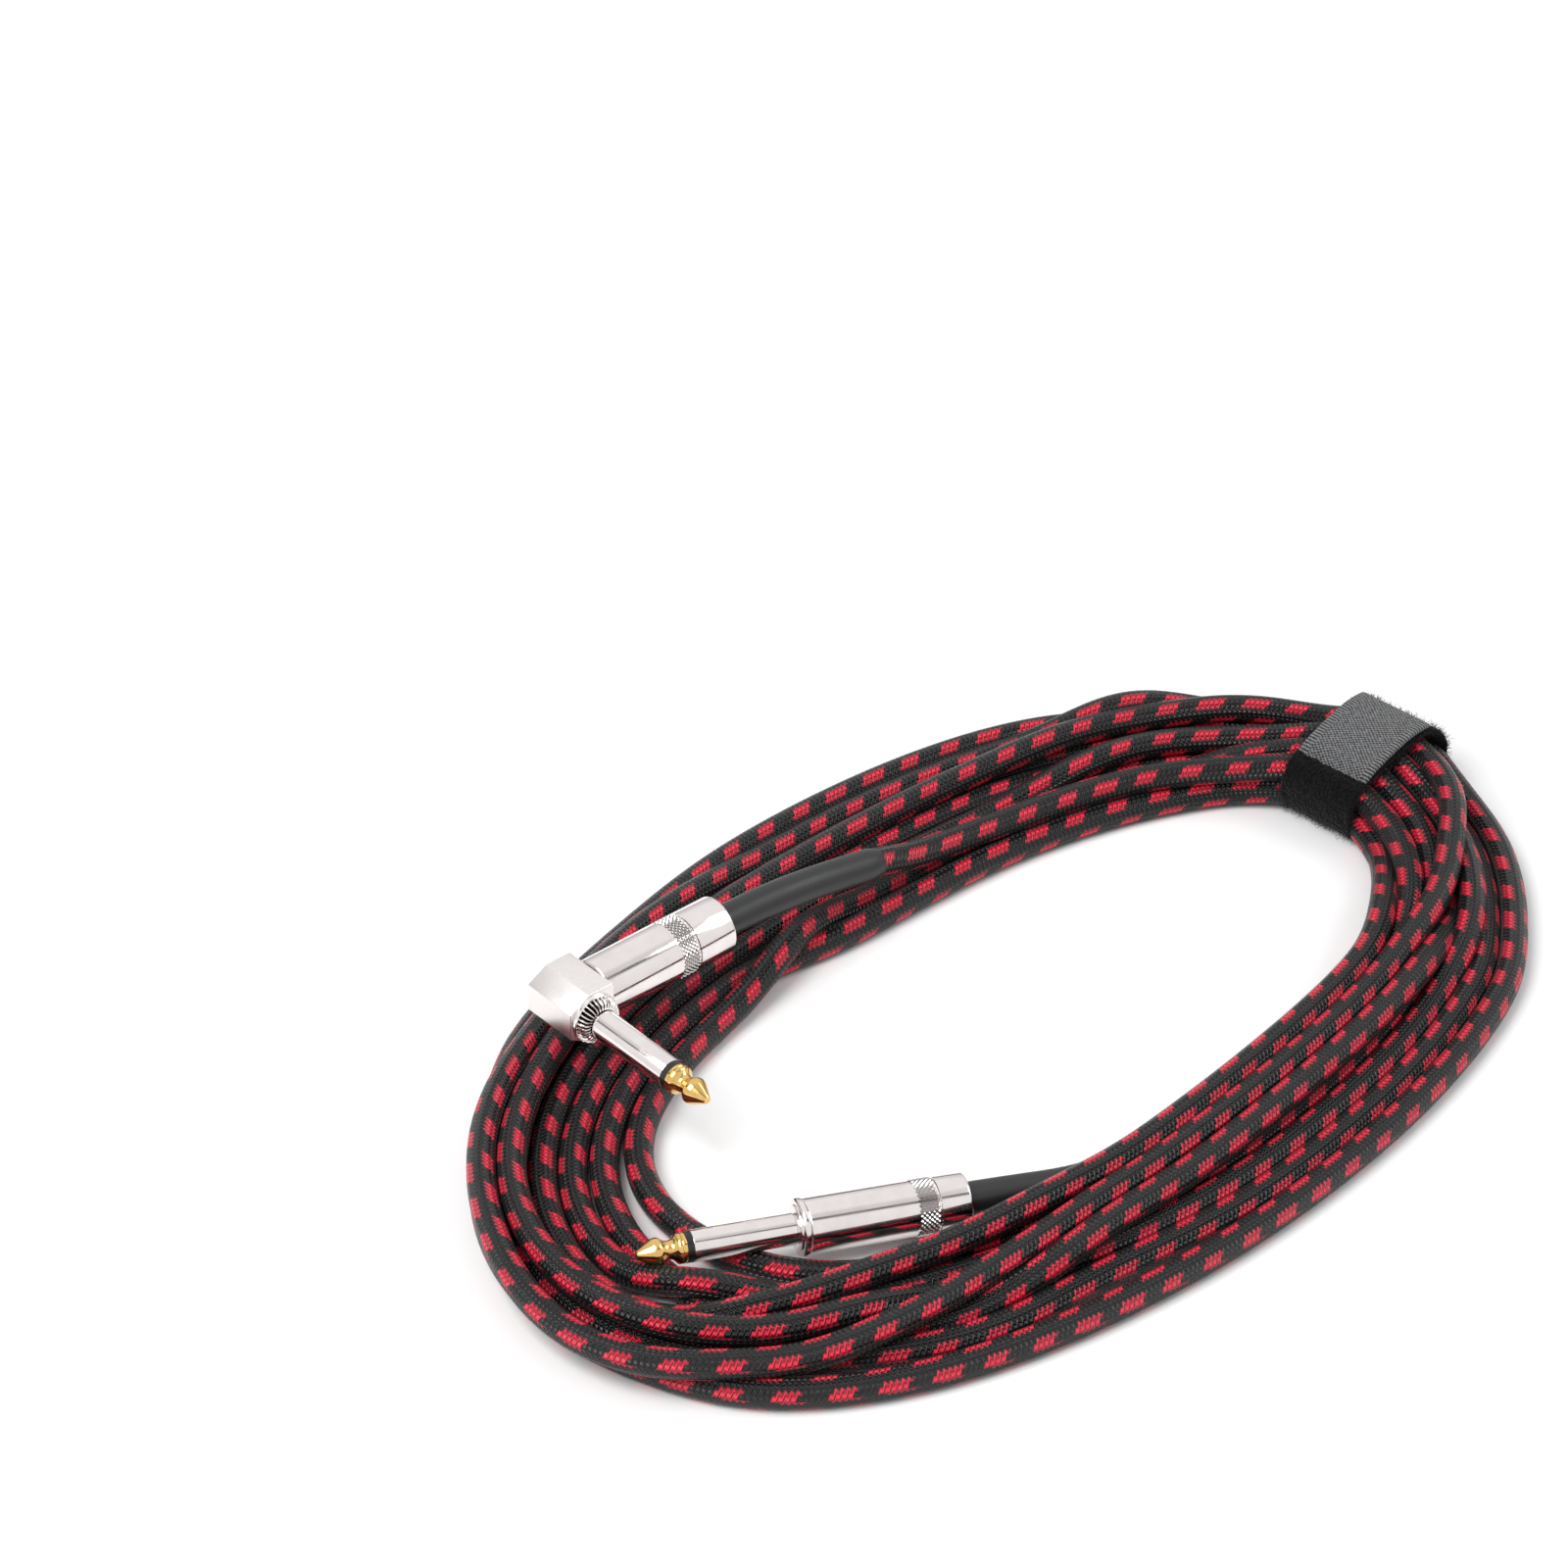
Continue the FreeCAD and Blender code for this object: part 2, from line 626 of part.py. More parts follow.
# The band goes round the strands where they pass the tie, side by side and in two layers
def cable_tie(parts):
    inner_x = hank_centre_x + hank_half_length - turns_per_layer * turn_pitch - band_slack
    last_x = hank_centre_x + hank_half_length - turn_pitch
    outer_x = hank_centre_x + hank_half_length
    low = lower_layer_z + tie_lift
    high = upper_layer_z + tie_lift
    middle = (low + high) / 2
    corners = [(inner_x, low), (last_x, low), (outer_x, middle), (last_x, high), (inner_x, high)]
    points = [FreeCAD.Vector(x, -band_width / 2, z) for x, z in corners]
    core = Part.makePolygon(points + [points[0]])
    inner_wire = core.makeOffset2D(cable_radius + band_clearance)
    outer_wire = core.makeOffset2D(cable_radius + band_clearance + band_thickness)
    across = FreeCAD.Vector(0, band_width, 0)
    parts["tie_band"] = Part.Face(outer_wire).extrude(across).cut(Part.Face(inner_wire).extrude(across))
    tab_z = high + cable_radius + band_clearance + band_thickness + rest_gap
    hinge_x = last_x + tab_overhang
    tab = box(hinge_x - tab_length, hinge_x, -tab_width / 2, tab_width / 2, tab_z, tab_z + tab_thickness)
    parts["tie_hook_tab"] = tab
    print("tab hinge at x %.3f, z %.3f" % (hinge_x, tab_z))


def main():
    parts = {}
    parts["cable_coil"] = cable_coil()
    straight_plug(parts)
    elbow_plug(parts)
    cable_tie(parts)
    os.makedirs("parts", exist_ok=True)
    whole = FreeCAD.BoundBox()
    for name, shape in parts.items():
        shape.exportStep("parts/" + name + ".step")
        whole.add(shape.optimalBoundingBox(False))
        if not shape.isValid() or len(shape.Solids) != 1:
            print("%s: valid %s, solids %d" % (name, shape.isValid(), len(shape.Solids)))
    print("box x %.2f %.2f  y %.2f %.2f  z %.2f %.2f" % (
        whole.XMin, whole.XMax, whole.YMin, whole.YMax, whole.ZMin, whole.ZMax))


main()
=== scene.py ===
# Instrument cable: a braided cord in a tied oval hank, with a straight and a right-angle jack plug.
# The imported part's own frame: +X along the hank to its tie, +Z up. Sizes are in millimetres, which mm
# turns to metres, but for the camera and the studio, which are in metres.
import math

import bpy
import numpy as np
from mathutils import Matrix, Vector


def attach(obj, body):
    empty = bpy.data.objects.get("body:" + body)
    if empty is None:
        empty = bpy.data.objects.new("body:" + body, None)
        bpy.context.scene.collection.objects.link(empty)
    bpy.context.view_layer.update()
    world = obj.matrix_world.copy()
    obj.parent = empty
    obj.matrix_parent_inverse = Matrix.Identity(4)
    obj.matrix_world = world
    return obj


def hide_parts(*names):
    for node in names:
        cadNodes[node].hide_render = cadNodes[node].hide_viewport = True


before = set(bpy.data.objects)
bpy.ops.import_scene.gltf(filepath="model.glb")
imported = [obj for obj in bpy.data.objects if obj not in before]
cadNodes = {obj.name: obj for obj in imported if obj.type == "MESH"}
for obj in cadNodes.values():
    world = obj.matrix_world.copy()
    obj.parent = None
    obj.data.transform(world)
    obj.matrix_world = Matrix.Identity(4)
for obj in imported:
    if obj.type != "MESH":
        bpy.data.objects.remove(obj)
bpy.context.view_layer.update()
mm = 0.001
print("frame loaded:", len(cadNodes), "solids")


def deselectAll():
    if bpy.context.mode != "OBJECT":
        bpy.ops.object.mode_set(mode="OBJECT")
    bpy.ops.object.select_all(action="DESELECT")


def workOn(piece):
    deselectAll()
    piece.select_set(True)
    bpy.context.view_layer.objects.active = piece


def editAll(piece):
    workOn(piece)
    bpy.ops.object.mode_set(mode="EDIT")
    bpy.ops.mesh.select_all(action="SELECT")


# A piece that was modelled about its own axis goes to its place, and its object stays at the origin
def putAt(piece, place):
    piece.matrix_world = place
    workOn(piece)
    bpy.ops.object.transform_apply(location=True, rotation=True, scale=True)


def finishMesh(piece):
    editAll(piece)
    bpy.ops.mesh.remove_doubles(threshold=0.00001)
    bpy.ops.mesh.normals_make_consistent(inside=False)
    workOn(piece)
    bpy.ops.object.shade_smooth_by_angle(angle=math.radians(30))


def applyModifiers(piece):
    workOn(piece)
    for modifier in list(piece.modifiers):
        bpy.ops.object.modifier_apply(modifier=modifier.name)


# sRGB hex to the linear colour that shaders take
def tone(code):
    parts = [int(code[i:i + 2], 16) / 255 for i in (1, 3, 5)]
    return tuple(c / 12.92 if c <= 0.04045 else ((c + 0.055) / 1.055) ** 2.4 for c in parts) + (1.0,)


# Settings are sockets or properties by name. A link from a node takes its first output.
def addNode(tree, kind, settings=None, links=None):
    node = tree.nodes.new("ShaderNode" + kind)
    for name, value in (settings or {}).items():
        if isinstance(name, int) or name in node.inputs:
            node.inputs[name].default_value = value
        else:
            setattr(node, name, value)
    for name, source in (links or {}).items():
        output = source.outputs[0] if isinstance(source, bpy.types.Node) else source
        tree.links.new(output, node.inputs[name])
    return node


def newMaterial(name):
    material = bpy.data.materials.new(name)
    material.use_nodes = True
    tree = material.node_tree
    tree.nodes.clear()
    return material, tree


def dress(piece, material):
    piece.data.materials.clear()
    piece.data.materials.append(material)


# Where the photograph was taken from: past the plugs' end, looking down at about 36 degrees
camera = {
    "place": (-0.65605, -0.54505, 0.6815),
    "turn": (54.102, 0, -47.176),
    "lens": 122.6,
    "sensor": 36,
}

bpy.ops.object.camera_add(location=camera["place"], rotation=[math.radians(a) for a in camera["turn"]])
view = bpy.context.object
view.name = "photographView"
view.data.lens = camera["lens"]
view.data.sensor_width = camera["sensor"]
view.data.clip_start = 0.01
bpy.context.scene.camera = view

# White paper sweep and soft boxes, at a level where a colour renders as it is written
studio = {
    "floorTone": "#F4F4F4",
    "floorSize": 6.0,
    "fill": 0.55,
    "keyPower": 17,
    "keySize": 0.9,
    "keyPlace": (-0.8, 0.15, 1.15),
    "sidePower": 5,
    "sideSize": 0.7,
    "sidePlace": (0.9, -0.6, 0.9),
    "roomAxis": (0.41, 0.38, 0.83),
    "room": [(0.0, 0.3), (0.2, 0.45), (0.3, 0.95), (0.7, 1.0), (0.745, 0.4), (0.765, 0.04), (0.782, 0.3),
             (0.82, 0.8), (0.87, 0.76), (0.93, 1.0)],
}


def buildStudio():
    world = bpy.data.worlds.new("studioAir")
    world.use_nodes = True
    tree = world.node_tree
    tree.nodes.clear()
    rays = addNode(tree, "LightPath")
    seen = addNode(tree, "Math", {"operation": "MAXIMUM"},
                   {0: rays.outputs["Is Camera Ray"], 1: rays.outputs["Is Glossy Ray"]})
    seen = addNode(tree, "Math", {"operation": "MAXIMUM"}, {0: seen, 1: rays.outputs["Is Transmission Ray"]})
    fill = addNode(tree, "Background", {"Color": tone("#FFFFFF"), "Strength": studio["fill"]})
    # bright metal mirrors a white sweep with a few darker gaps between the light panels
    way = addNode(tree, "TexCoord")
    way = addNode(tree, "VectorMath", {"operation": "DOT_PRODUCT", 1: studio["roomAxis"]},
                  {0: way.outputs["Generated"]})
    way = addNode(tree, "Math", {"operation": "MULTIPLY_ADD", 1: 0.5, 2: 0.5}, {0: way.outputs["Value"]})
    room = addNode(tree, "ValToRGB", None, {0: way})
    stops = room.color_ramp.elements
    for place, grey in studio["room"][2:]:
        stops.new(place)
    for stop, (place, grey) in zip(stops, studio["room"]):
        stop.position = place
        stop.color = (grey, grey, grey, 1)
    backdrop = addNode(tree, "Mix", {"data_type": "RGBA", 6: (1, 1, 1, 1)},
                       {0: rays.outputs["Is Glossy Ray"], 7: room})
    white = addNode(tree, "Background", {"Strength": 1.0}, {"Color": backdrop.outputs[2]})
    mixed = addNode(tree, "MixShader", None, {0: seen, 1: fill, 2: white})
    addNode(tree, "OutputWorld", None, {"Surface": mixed})
    bpy.context.scene.world = world
    deselectAll()
    bpy.ops.mesh.primitive_plane_add(size=studio["floorSize"], location=(0, 0, 0))
    floor = bpy.context.object
    floor.name = "paperFloor"
    material, tree = newMaterial("matte studio paper")
    paper = addNode(tree, "BsdfPrincipled", {"Base Color": tone(studio["floorTone"]), "Roughness": 0.9})
    addNode(tree, "OutputMaterial", None, {"Surface": paper})
    floor.data.materials.append(material)
    for name in ("key", "side"):
        place = Vector(studio[name + "Place"])
        aim = (-place).to_track_quat("-Z", "Y").to_euler()
        bpy.ops.object.light_add(type="AREA", location=place, rotation=aim)
        lamp = bpy.context.object
        lamp.name = name + "Softbox"
        lamp.data.shape = "SQUARE"
        lamp.data.size = studio[name + "Size"]
        lamp.data.energy = studio[name + "Power"]
    bpy.context.scene.view_settings.view_transform = "Standard"


buildStudio()
print("camera, paper and soft boxes stand")

# The cord. Angles run round the hank from its tie, insets are in from its outline, in millimetres.
cord = {
    "diameter": 6.0,
    "halfLength": 132.0,
    "halfWidth": 74.5,
    "centreX": -2.375,
    "fullness": 0.9,
    "stations": 16,
    "ringGap": 1.6,
    "ringSides": 16,
    "lanes": 8,
    "lead": [(-59.14, -24.83, 6.74), (-42.11, -34.27, 5.65), (-24.8, -43.9, 3.55), (-4.31, -51.24, 3.55),
             (13.64, -49.94, 3.55)],
    "tail": [(55.625, 43.19, 10.25), (49.78, 44.53, 10.25), (32.23, 48.53, 10.25), (14.0, 48.8, 13.4),
             (-4.0, 50.3, 17.6), (-22.6, 52.3, 19.85), (-42.0, 54.34, 19.85)],
}
# Where each pass lies inside the tie, from the first to the last: inset and height
tiePlaces = [(19.5, 4.5), (25.5, 4.5), (13, 4.5), (6.5, 4.5), (0, 8.4), (4.9, 12.6), (11.2, 12.2),
             (17.3, 10.8), (23.4, 9.9)]
# Each turn's insets at its stations from one pass of the tie to the next
turnInsets = [
    [None] * 12 + [19.5, 17, 17.5],
    [22, 17, 11, 9, 8.5, 11.5, 14.5, 15.5, 21, 28, 28, 26, 22, 18, 19],
    [24.5, 27, 28.5, 25, 20, 23, 29.5, 29, 23, 14.5, 15, 15, 14.5, 11.5, 10],
    [10, 4.5, 0.8, 0.5, 1.5, 6.5, 11, 12, 13, 13, 10, 5, 4, 4, 5],
    [3, -3, -6, -6, -4.5, 2.5, 5.5, 5, 4, 1.2, 0, -3, -3, -2.2, -1.5],
    [-1, -2, -2.6, -2.8, -2.5, 1, 5, 3.5, 3, 10, 19, 22.5, 21, 15, 8],
    [1.5, 3.5, 6, 5, 1, 5.5, 10.5, 11.5, 12.5, 17, 17, 12, 9, 7, 9],
    [13, 14.5, 14.5, 14, 11, 14, 22.5, 27, 29, 26, 20, 15, 13.5, 13, 14.5],
    [20, 22.5, 23.5, 24, 25, 29, 38, 43.5, 40, 31, 24.5, 20, 18.5, 18, 20],
    [25, 25] + [None] * 13,
]
# The heights that the settling starts from say which strand lies over which
turnHeights = [
    [None] * 12 + [3, 3, 3.5],
    [3, 3, 3, 3, 3, 3, 8, 12, 12, 12, 12, 12, 10, 8, 6],
    [3, 3, 3, 3, 3, 3, 3, 3, 3, 9, 9, 9, 8, 8, 7],
    [3, 3, 3, 3, 3, 3, 3, 3, 3, 3, 3, 3, 3, 3, 3.5],
    [3, 3, 3, 3, 3, 3, 3, 3, 3, 3, 3, 3, 3, 3, 5],
    [9, 9, 9, 9, 9, 9, 9, 9, 10, 15, 15, 14, 12, 12, 12],
    [9, 9, 9, 9, 9, 9, 9, 9, 9, 9, 4, 3, 4, 7, 11],
    [9, 9, 9, 9, 9, 10, 8, 3, 3, 3, 3, 3, 4, 7, 11],
    [9, 9, 9, 9, 9, 8, 5, 3, 3, 3, 3, 3, 4, 7, 11],
    [11, 11] + [None] * 13,
]
settling = {
    "step": 3.0,  # between the points
    "rounds": 260,
    "sag": 0.12,
    "leadHeld": 36,
    "tailHeld": 60,
    "tieHeld": (90, 10),  # past this x, and this far to each side
    "searchEvery": 10,
    "searchMargin": 3,
    "ownReach": 20,  # a point is never pushed off its own neighbours along the cord
    "smoothing": 0.45,
    "homePull": 0.03,
    "sideways": 0.8,
    "pushGain": 1.4,
    "easeRounds": 8,
}
# The plugs that the cord lies round: two ends and a radius
plugShapes = [
    ((-79.5, -13.55, 8.04), (-107.4, 1.93, 9.83), 3.2),
    ((-50.4, -29.7, 6.18), (-79.0, -13.8, 8.0), 5.9),
    ((-30.56, 53.14, 19.85), (-63.3, 56.6, 19.85), 6.6),
    ((-63.3, 56.6, 19.85), (-72.0, 57.5, 19.85), 7.6),
    ((-69.7, 47.8, 19.85), (-73.08, 15.98, 19.85), 3.5),
]


def hankPlace(degrees, inset):
    angle = math.radians(degrees)
    c, s = math.cos(angle), math.sin(angle)
    x = cord["centreX"] + (cord["halfLength"] - inset) * math.copysign(abs(c) ** cord["fullness"], c)
    return x, (cord["halfWidth"] - inset) * math.copysign(abs(s) ** cord["fullness"], s)


def cordRoute():
    route = list(cord["lead"])
    step = 360 / cord["stations"]
    for turn, (insets, heights) in enumerate(zip(turnInsets, turnHeights)):
        before = tiePlaces[turn - 1] if turn else None
        after = tiePlaces[turn] if turn < len(tiePlaces) else None
        places = [(0, before), (step / 3, before)]
        rows = enumerate(zip(insets, heights), 1)
        places += [(step * k, place) for k, place in rows if place[0] is not None]
        places.append((360 - step / 3, after))
        for degrees, place in places:
            if place:
                x, y = hankPlace(degrees, place[0])
                route.append((x, y, place[1]))
    return route + cord["tail"]


# A smooth line through the route, as the points of a NURBS spline
def readSpline(route, name, closed=False):
    curve = bpy.data.curves.new(name, "CURVE")
    curve.dimensions = "3D"
    curve.resolution_u = 10
    spline = curve.splines.new("NURBS")
    spline.points.add(len(route) - 1)
    for point, place in zip(spline.points, route):
        point.co = (place[0] * mm, place[1] * mm, place[2] * mm, 1)
    spline.order_u = 3
    spline.use_endpoint_u = not closed
    spline.use_cyclic_u = closed
    holder = bpy.data.objects.new(name, curve)
    bpy.context.collection.objects.link(holder)
    bpy.context.view_layer.update()
    mesh = bpy.data.meshes.new_from_object(holder)
    points = np.array([v.co for v in mesh.vertices]) / mm
    bpy.data.objects.remove(holder)
    bpy.data.meshes.remove(mesh)
    return points


def evenPoints(points, gap):
    runs = np.linalg.norm(np.diff(points, axis=0), axis=1)
    along = np.concatenate([[0], np.cumsum(runs)])
    count = int(round(along[-1] / gap))
    wanted = np.linspace(0, along[-1], count + 1)
    return np.stack([np.interp(wanted, along, points[:, i]) for i in range(3)], 1), along[-1]


# Lets the cord sink on itself: each point is pulled down, kept smooth, and pushed off what it touches
def settleCord(points):
    home = points.copy()
    count = len(points)
    step, width = settling["step"], cord["diameter"]
    held = np.zeros(count, bool)
    held[:int(settling["leadHeld"] / step)] = True
    held[-int(settling["tailHeld"] / step):] = True
    tieStart, tieSide = settling["tieHeld"]
    held |= (points[:, 0] > tieStart) & (np.abs(points[:, 1]) < tieSide)
    free = ~held
    number = np.arange(count)
    for turn in range(settling["rounds"]):
        if turn % settling["searchEvery"] == 0:
            flat = points.astype(np.float32)
            square = (flat ** 2).sum(1)
            apart = square[:, None] + square[None, :] - 2 * flat @ flat.T
            near = apart < (width + settling["searchMargin"]) ** 2
            near &= number[None, :] - number[:, None] > settling["ownReach"] / step
            one, two = np.nonzero(near)
        points[free, 2] -= settling["sag"]
        moved = points - home
        moved[:, 2] = points[:, 2]
        for _ in range(2):
            moved[1:-1] += settling["smoothing"] * (0.5 * (moved[:-2] + moved[2:]) - moved[1:-1])
        smooth = home + moved
        smooth[:, 2] = moved[:, 2]
        points[free] = smooth[free]
        points[free, :2] += settling["homePull"] * (home[free, :2] - points[free, :2])
        for _ in range(3):
            gap = points[one] - points[two]
            length = np.maximum(np.linalg.norm(gap, axis=1), 0.001)
            hit = length < width
            a, b = one[hit], two[hit]
            push = gap[hit] / length[hit, None] * ((width - length[hit]) * 0.5)[:, None]
            push[:, :2] *= settling["sideways"]
            total = np.zeros_like(points)
            touched = np.zeros(count)
            np.add.at(total, a, push)
            np.add.at(total, b, -push)
            np.add.at(touched, a, 1)
            np.add.at(touched, b, 1)
            total = total / np.maximum(touched, 1)[:, None] * settling["pushGain"]
            points[free] += total[free]
            for start, end, radius in plugShapes:
                start = np.array(start)
                axis = np.array(end) - start
                share = np.clip(((points - start) @ axis) / (axis @ axis), 0, 1)
                off = points - start - share[:, None] * axis
                away = np.linalg.norm(off, axis=1)
                hit = (away < radius + width / 2) & free
                points[hit] += off[hit] / away[hit, None] * (radius + width / 2 - away[hit])[:, None]
            points[:, 2] = np.maximum(points[:, 2], width / 2)
    # a stiff cable has no short kinks
    for _ in range(settling["easeRounds"]):
        middle = 0.25 * points[:-2] + 0.5 * points[1:-1] + 0.25 * points[2:]
        points[1:-1][free[1:-1]] = middle[free[1:-1]]
    return points


# Rings of vertices along a line, with no twist, and a UV map in millimetres along it and lanes round it
def tubeAlong(name, line, radii, sides):
    tangents = np.gradient(line, axis=0)
    tangents /= np.linalg.norm(tangents, axis=1)[:, None]
    side = np.cross(tangents[0], (0, 0, 1))
    side /= np.linalg.norm(side)
    turnAngles = np.arange(sides) / sides * 2 * math.pi
    rings = []
    for place, tangent, radius in zip(line, tangents, radii):
        side = side - tangent * (side @ tangent)
        side /= np.linalg.norm(side)
        up = np.cross(side, tangent)
        ring = place + radius * (np.outer(np.cos(turnAngles), side) + np.outer(np.sin(turnAngles), up))
        rings.append(ring)
    vertices = np.concatenate(rings) * mm
    count = len(line)
    faces = []
    maps = []
    along = np.concatenate([[0], np.cumsum(np.linalg.norm(np.diff(line, axis=0), axis=1))])
    lanes = cord["lanes"]
    for i in range(count - 1):
        for j in range(sides):
            k = (j + 1) % sides
            faces.append((i * sides + j, i * sides + k, (i + 1) * sides + k, (i + 1) * sides + j))
            low, high = j / sides * lanes, (j + 1) / sides * lanes
            maps += [along[i], low, along[i], high, along[i + 1], high, along[i + 1], low]
    faces.append(tuple(range(sides))[::-1])
    faces.append(tuple((count - 1) * sides + j for j in range(sides)))
    maps += [0.0] * (4 * sides)
    mesh = bpy.data.meshes.new(name)
    mesh.from_pydata([tuple(v) for v in vertices], [], faces)
    mesh.uv_layers.new(name="alongCord")
    mesh.uv_layers["alongCord"].data.foreach_set("uv", np.array(maps, np.float32))
    mesh.update()
    piece = bpy.data.objects.new(name, mesh)
    bpy.context.collection.objects.link(piece)
    editAll(piece)
    bpy.ops.mesh.normals_make_consistent(inside=False)
    workOn(piece)
    bpy.ops.object.shade_smooth_by_angle(angle=math.radians(60))
    return piece


# Polyester braid: eight lanes of slanted yarns, each lane leaning against the next, and every other
# lane changes to red for half of its repeat. Each yarn's crown is painted light, a painted highlight that
# gives the herringbone its glints, and the grooves between yarns carry painted shade.
braid = {
    "yarnPitch": 1.15,
    "repeat": 10.1,
    "redShare": 0.5,
    "columnShift": 0.1,
    "lean": 1.8,
    "sawtooth": 0.3,
    "redSwell": 0.06,
    # red and black are the lit colours on the yarns' crowns; the two shade colours are painted shade
    "red": "#F0304C",
    "redPaintedShade": "#9C0A24",
    "black": "#18181A",
    "blackPaintedShade": "#010101",
    "yarnHeight": 0.4,
    "laneCrown": 0.7,
    # how sharply the painted highlight gathers on each yarn's crown
    "paintedGlint": 1.8,
    "filaments": (8.0, 1.5, 3.1),  # along, across and from lane to lane
    "filamentTone": 0.8,
    "filamentRelief": 0.25,
    "roughness": 0.32,
    "specular": 0.42,
}


def braidMaterial():
    material, tree = newMaterial("polyester braid")
    place = addNode(tree, "UVMap", {"uv_map": "alongCord"})
    axes = addNode(tree, "SeparateXYZ", None, {0: place})
    along, around = axes.outputs[0], axes.outputs[1]
    pitch, filament = braid["yarnPitch"], braid["filamentTone"]
    # yarn ends reach into the next lane by turns
    tooth = addNode(tree, "Math", {"operation": "PINGPONG", 1: pitch / 2}, {0: along})
    tooth = addNode(tree, "Math", {"operation": "MULTIPLY", 1: braid["sawtooth"] * 2 / pitch}, {0: tooth})
    # lanes that carry red are wider than the ones between
    swell = addNode(tree, "Math", {"operation": "MULTIPLY", 1: math.pi}, {0: around})
    swell = addNode(tree, "Math", {"operation": "COSINE"}, {0: swell})
    swell = addNode(tree, "Math", {"operation": "MULTIPLY_ADD", 1: braid["redSwell"]}, {0: swell, 2: around})
    lane = addNode(tree, "Math", {"operation": "ADD"}, {0: swell, 1: tooth})
    laneNumber = addNode(tree, "Math", {"operation": "FLOOR"}, {0: lane})
    across = addNode(tree, "Math", {"operation": "FRACT"}, {0: lane})
    odd = addNode(tree, "Math", {"operation": "FLOORED_MODULO", 1: 2.0}, {0: laneNumber})
    lean = addNode(tree, "Math", {"operation": "MULTIPLY_ADD", 1: 2 * braid["lean"], 2: -braid["lean"]},
                   {0: odd})
    yarn = addNode(tree, "Math", {"operation": "MULTIPLY"}, {0: lean, 1: across})
    yarn = addNode(tree, "Math", {"operation": "MULTIPLY_ADD", 1: 1 / pitch}, {0: along, 2: yarn})
    yarnNumber = addNode(tree, "Math", {"operation": "FLOOR"}, {0: yarn})
    inYarn = addNode(tree, "Math", {"operation": "FRACT"}, {0: yarn})
    rounded = addNode(tree, "Math", {"operation": "MULTIPLY", 1: math.pi}, {0: inYarn})
    rounded = addNode(tree, "Math", {"operation": "SINE"}, {0: rounded})
    dome = addNode(tree, "Math", {"operation": "MULTIPLY", 1: math.pi}, {0: across})
    dome = addNode(tree, "Math", {"operation": "SINE"}, {0: dome})
    dome = addNode(tree, "Math", {"operation": "POWER", 1: braid["laneCrown"]}, {0: dome})
    height = addNode(tree, "Math", {"operation": "MULTIPLY"}, {0: rounded, 1: dome})
    # where in its repeat each yarn of a red lane is
    shift = addNode(tree, "Math", {"operation": "MULTIPLY", 1: braid["columnShift"]}, {0: laneNumber})
    phase = addNode(tree, "Math", {"operation": "MULTIPLY_ADD", 1: pitch / braid["repeat"]},
                    {0: yarnNumber, 2: shift})
    phase = addNode(tree, "Math", {"operation": "FRACT"}, {0: phase})
    dash = addNode(tree, "Math", {"operation": "LESS_THAN", 1: braid["redShare"]}, {0: phase})
    even = addNode(tree, "Math", {"operation": "SUBTRACT", 0: 1.0}, {1: odd})
    dash = addNode(tree, "Math", {"operation": "MULTIPLY"}, {0: dash, 1: even})
    # fine filaments run along each yarn, about 0.14 mm apart
    grain = addNode(tree, "CombineXYZ", None, {0: yarn, 1: across, 2: laneNumber})
    grain = addNode(tree, "Mapping", {"Scale": braid["filaments"]}, {"Vector": grain})
    grain = addNode(tree, "TexNoise", {"Scale": 1.0, "Detail": 3.0}, {"Vector": grain})
    grainTone = addNode(tree, "Math", {"operation": "MULTIPLY_ADD", 1: filament, 2: -filament / 2},
                        {0: grain})
    # painted light: each yarn is painted towards its lit colour on its crown and towards painted shade at
    # its ends and the lane's edges; the filament grain is the yarn's own uneven tone
    paintedLight = addNode(tree, "Math", {"operation": "POWER", 1: braid["paintedGlint"]}, {0: height})
    paintedLight = addNode(tree, "Math", {"operation": "ADD", "use_clamp": True}, {0: paintedLight, 1: grainTone})
    blackYarn = addNode(tree, "Mix",
                        {"data_type": "RGBA", 6: tone(braid["blackPaintedShade"]), 7: tone(braid["black"])},
                        {0: paintedLight})
    redYarn = addNode(tree, "Mix", {"data_type": "RGBA", 6: tone(braid["redPaintedShade"]), 7: tone(braid["red"])},
                      {0: paintedLight})
    colour = addNode(tree, "Mix", {"data_type": "RGBA"},
                     {0: dash, 6: blackYarn.outputs[2], 7: redYarn.outputs[2]})
    relief = addNode(tree, "Math", {"operation": "MULTIPLY_ADD", 1: braid["filamentRelief"]},
                     {0: grain, 2: height})
    bump = addNode(tree, "Bump", {"Strength": 1.0, "Distance": braid["yarnHeight"] * mm}, {"Height": relief})
    body = addNode(tree, "BsdfPrincipled",
                   {"Roughness": braid["roughness"], "Sheen Weight": 0.02, "Sheen Roughness": 0.4,
                    "Specular IOR Level": braid["specular"]},
                    {"Base Color": colour.outputs[2], "Normal": bump})
    addNode(tree, "OutputMaterial", None, {"Surface": body})
    return material


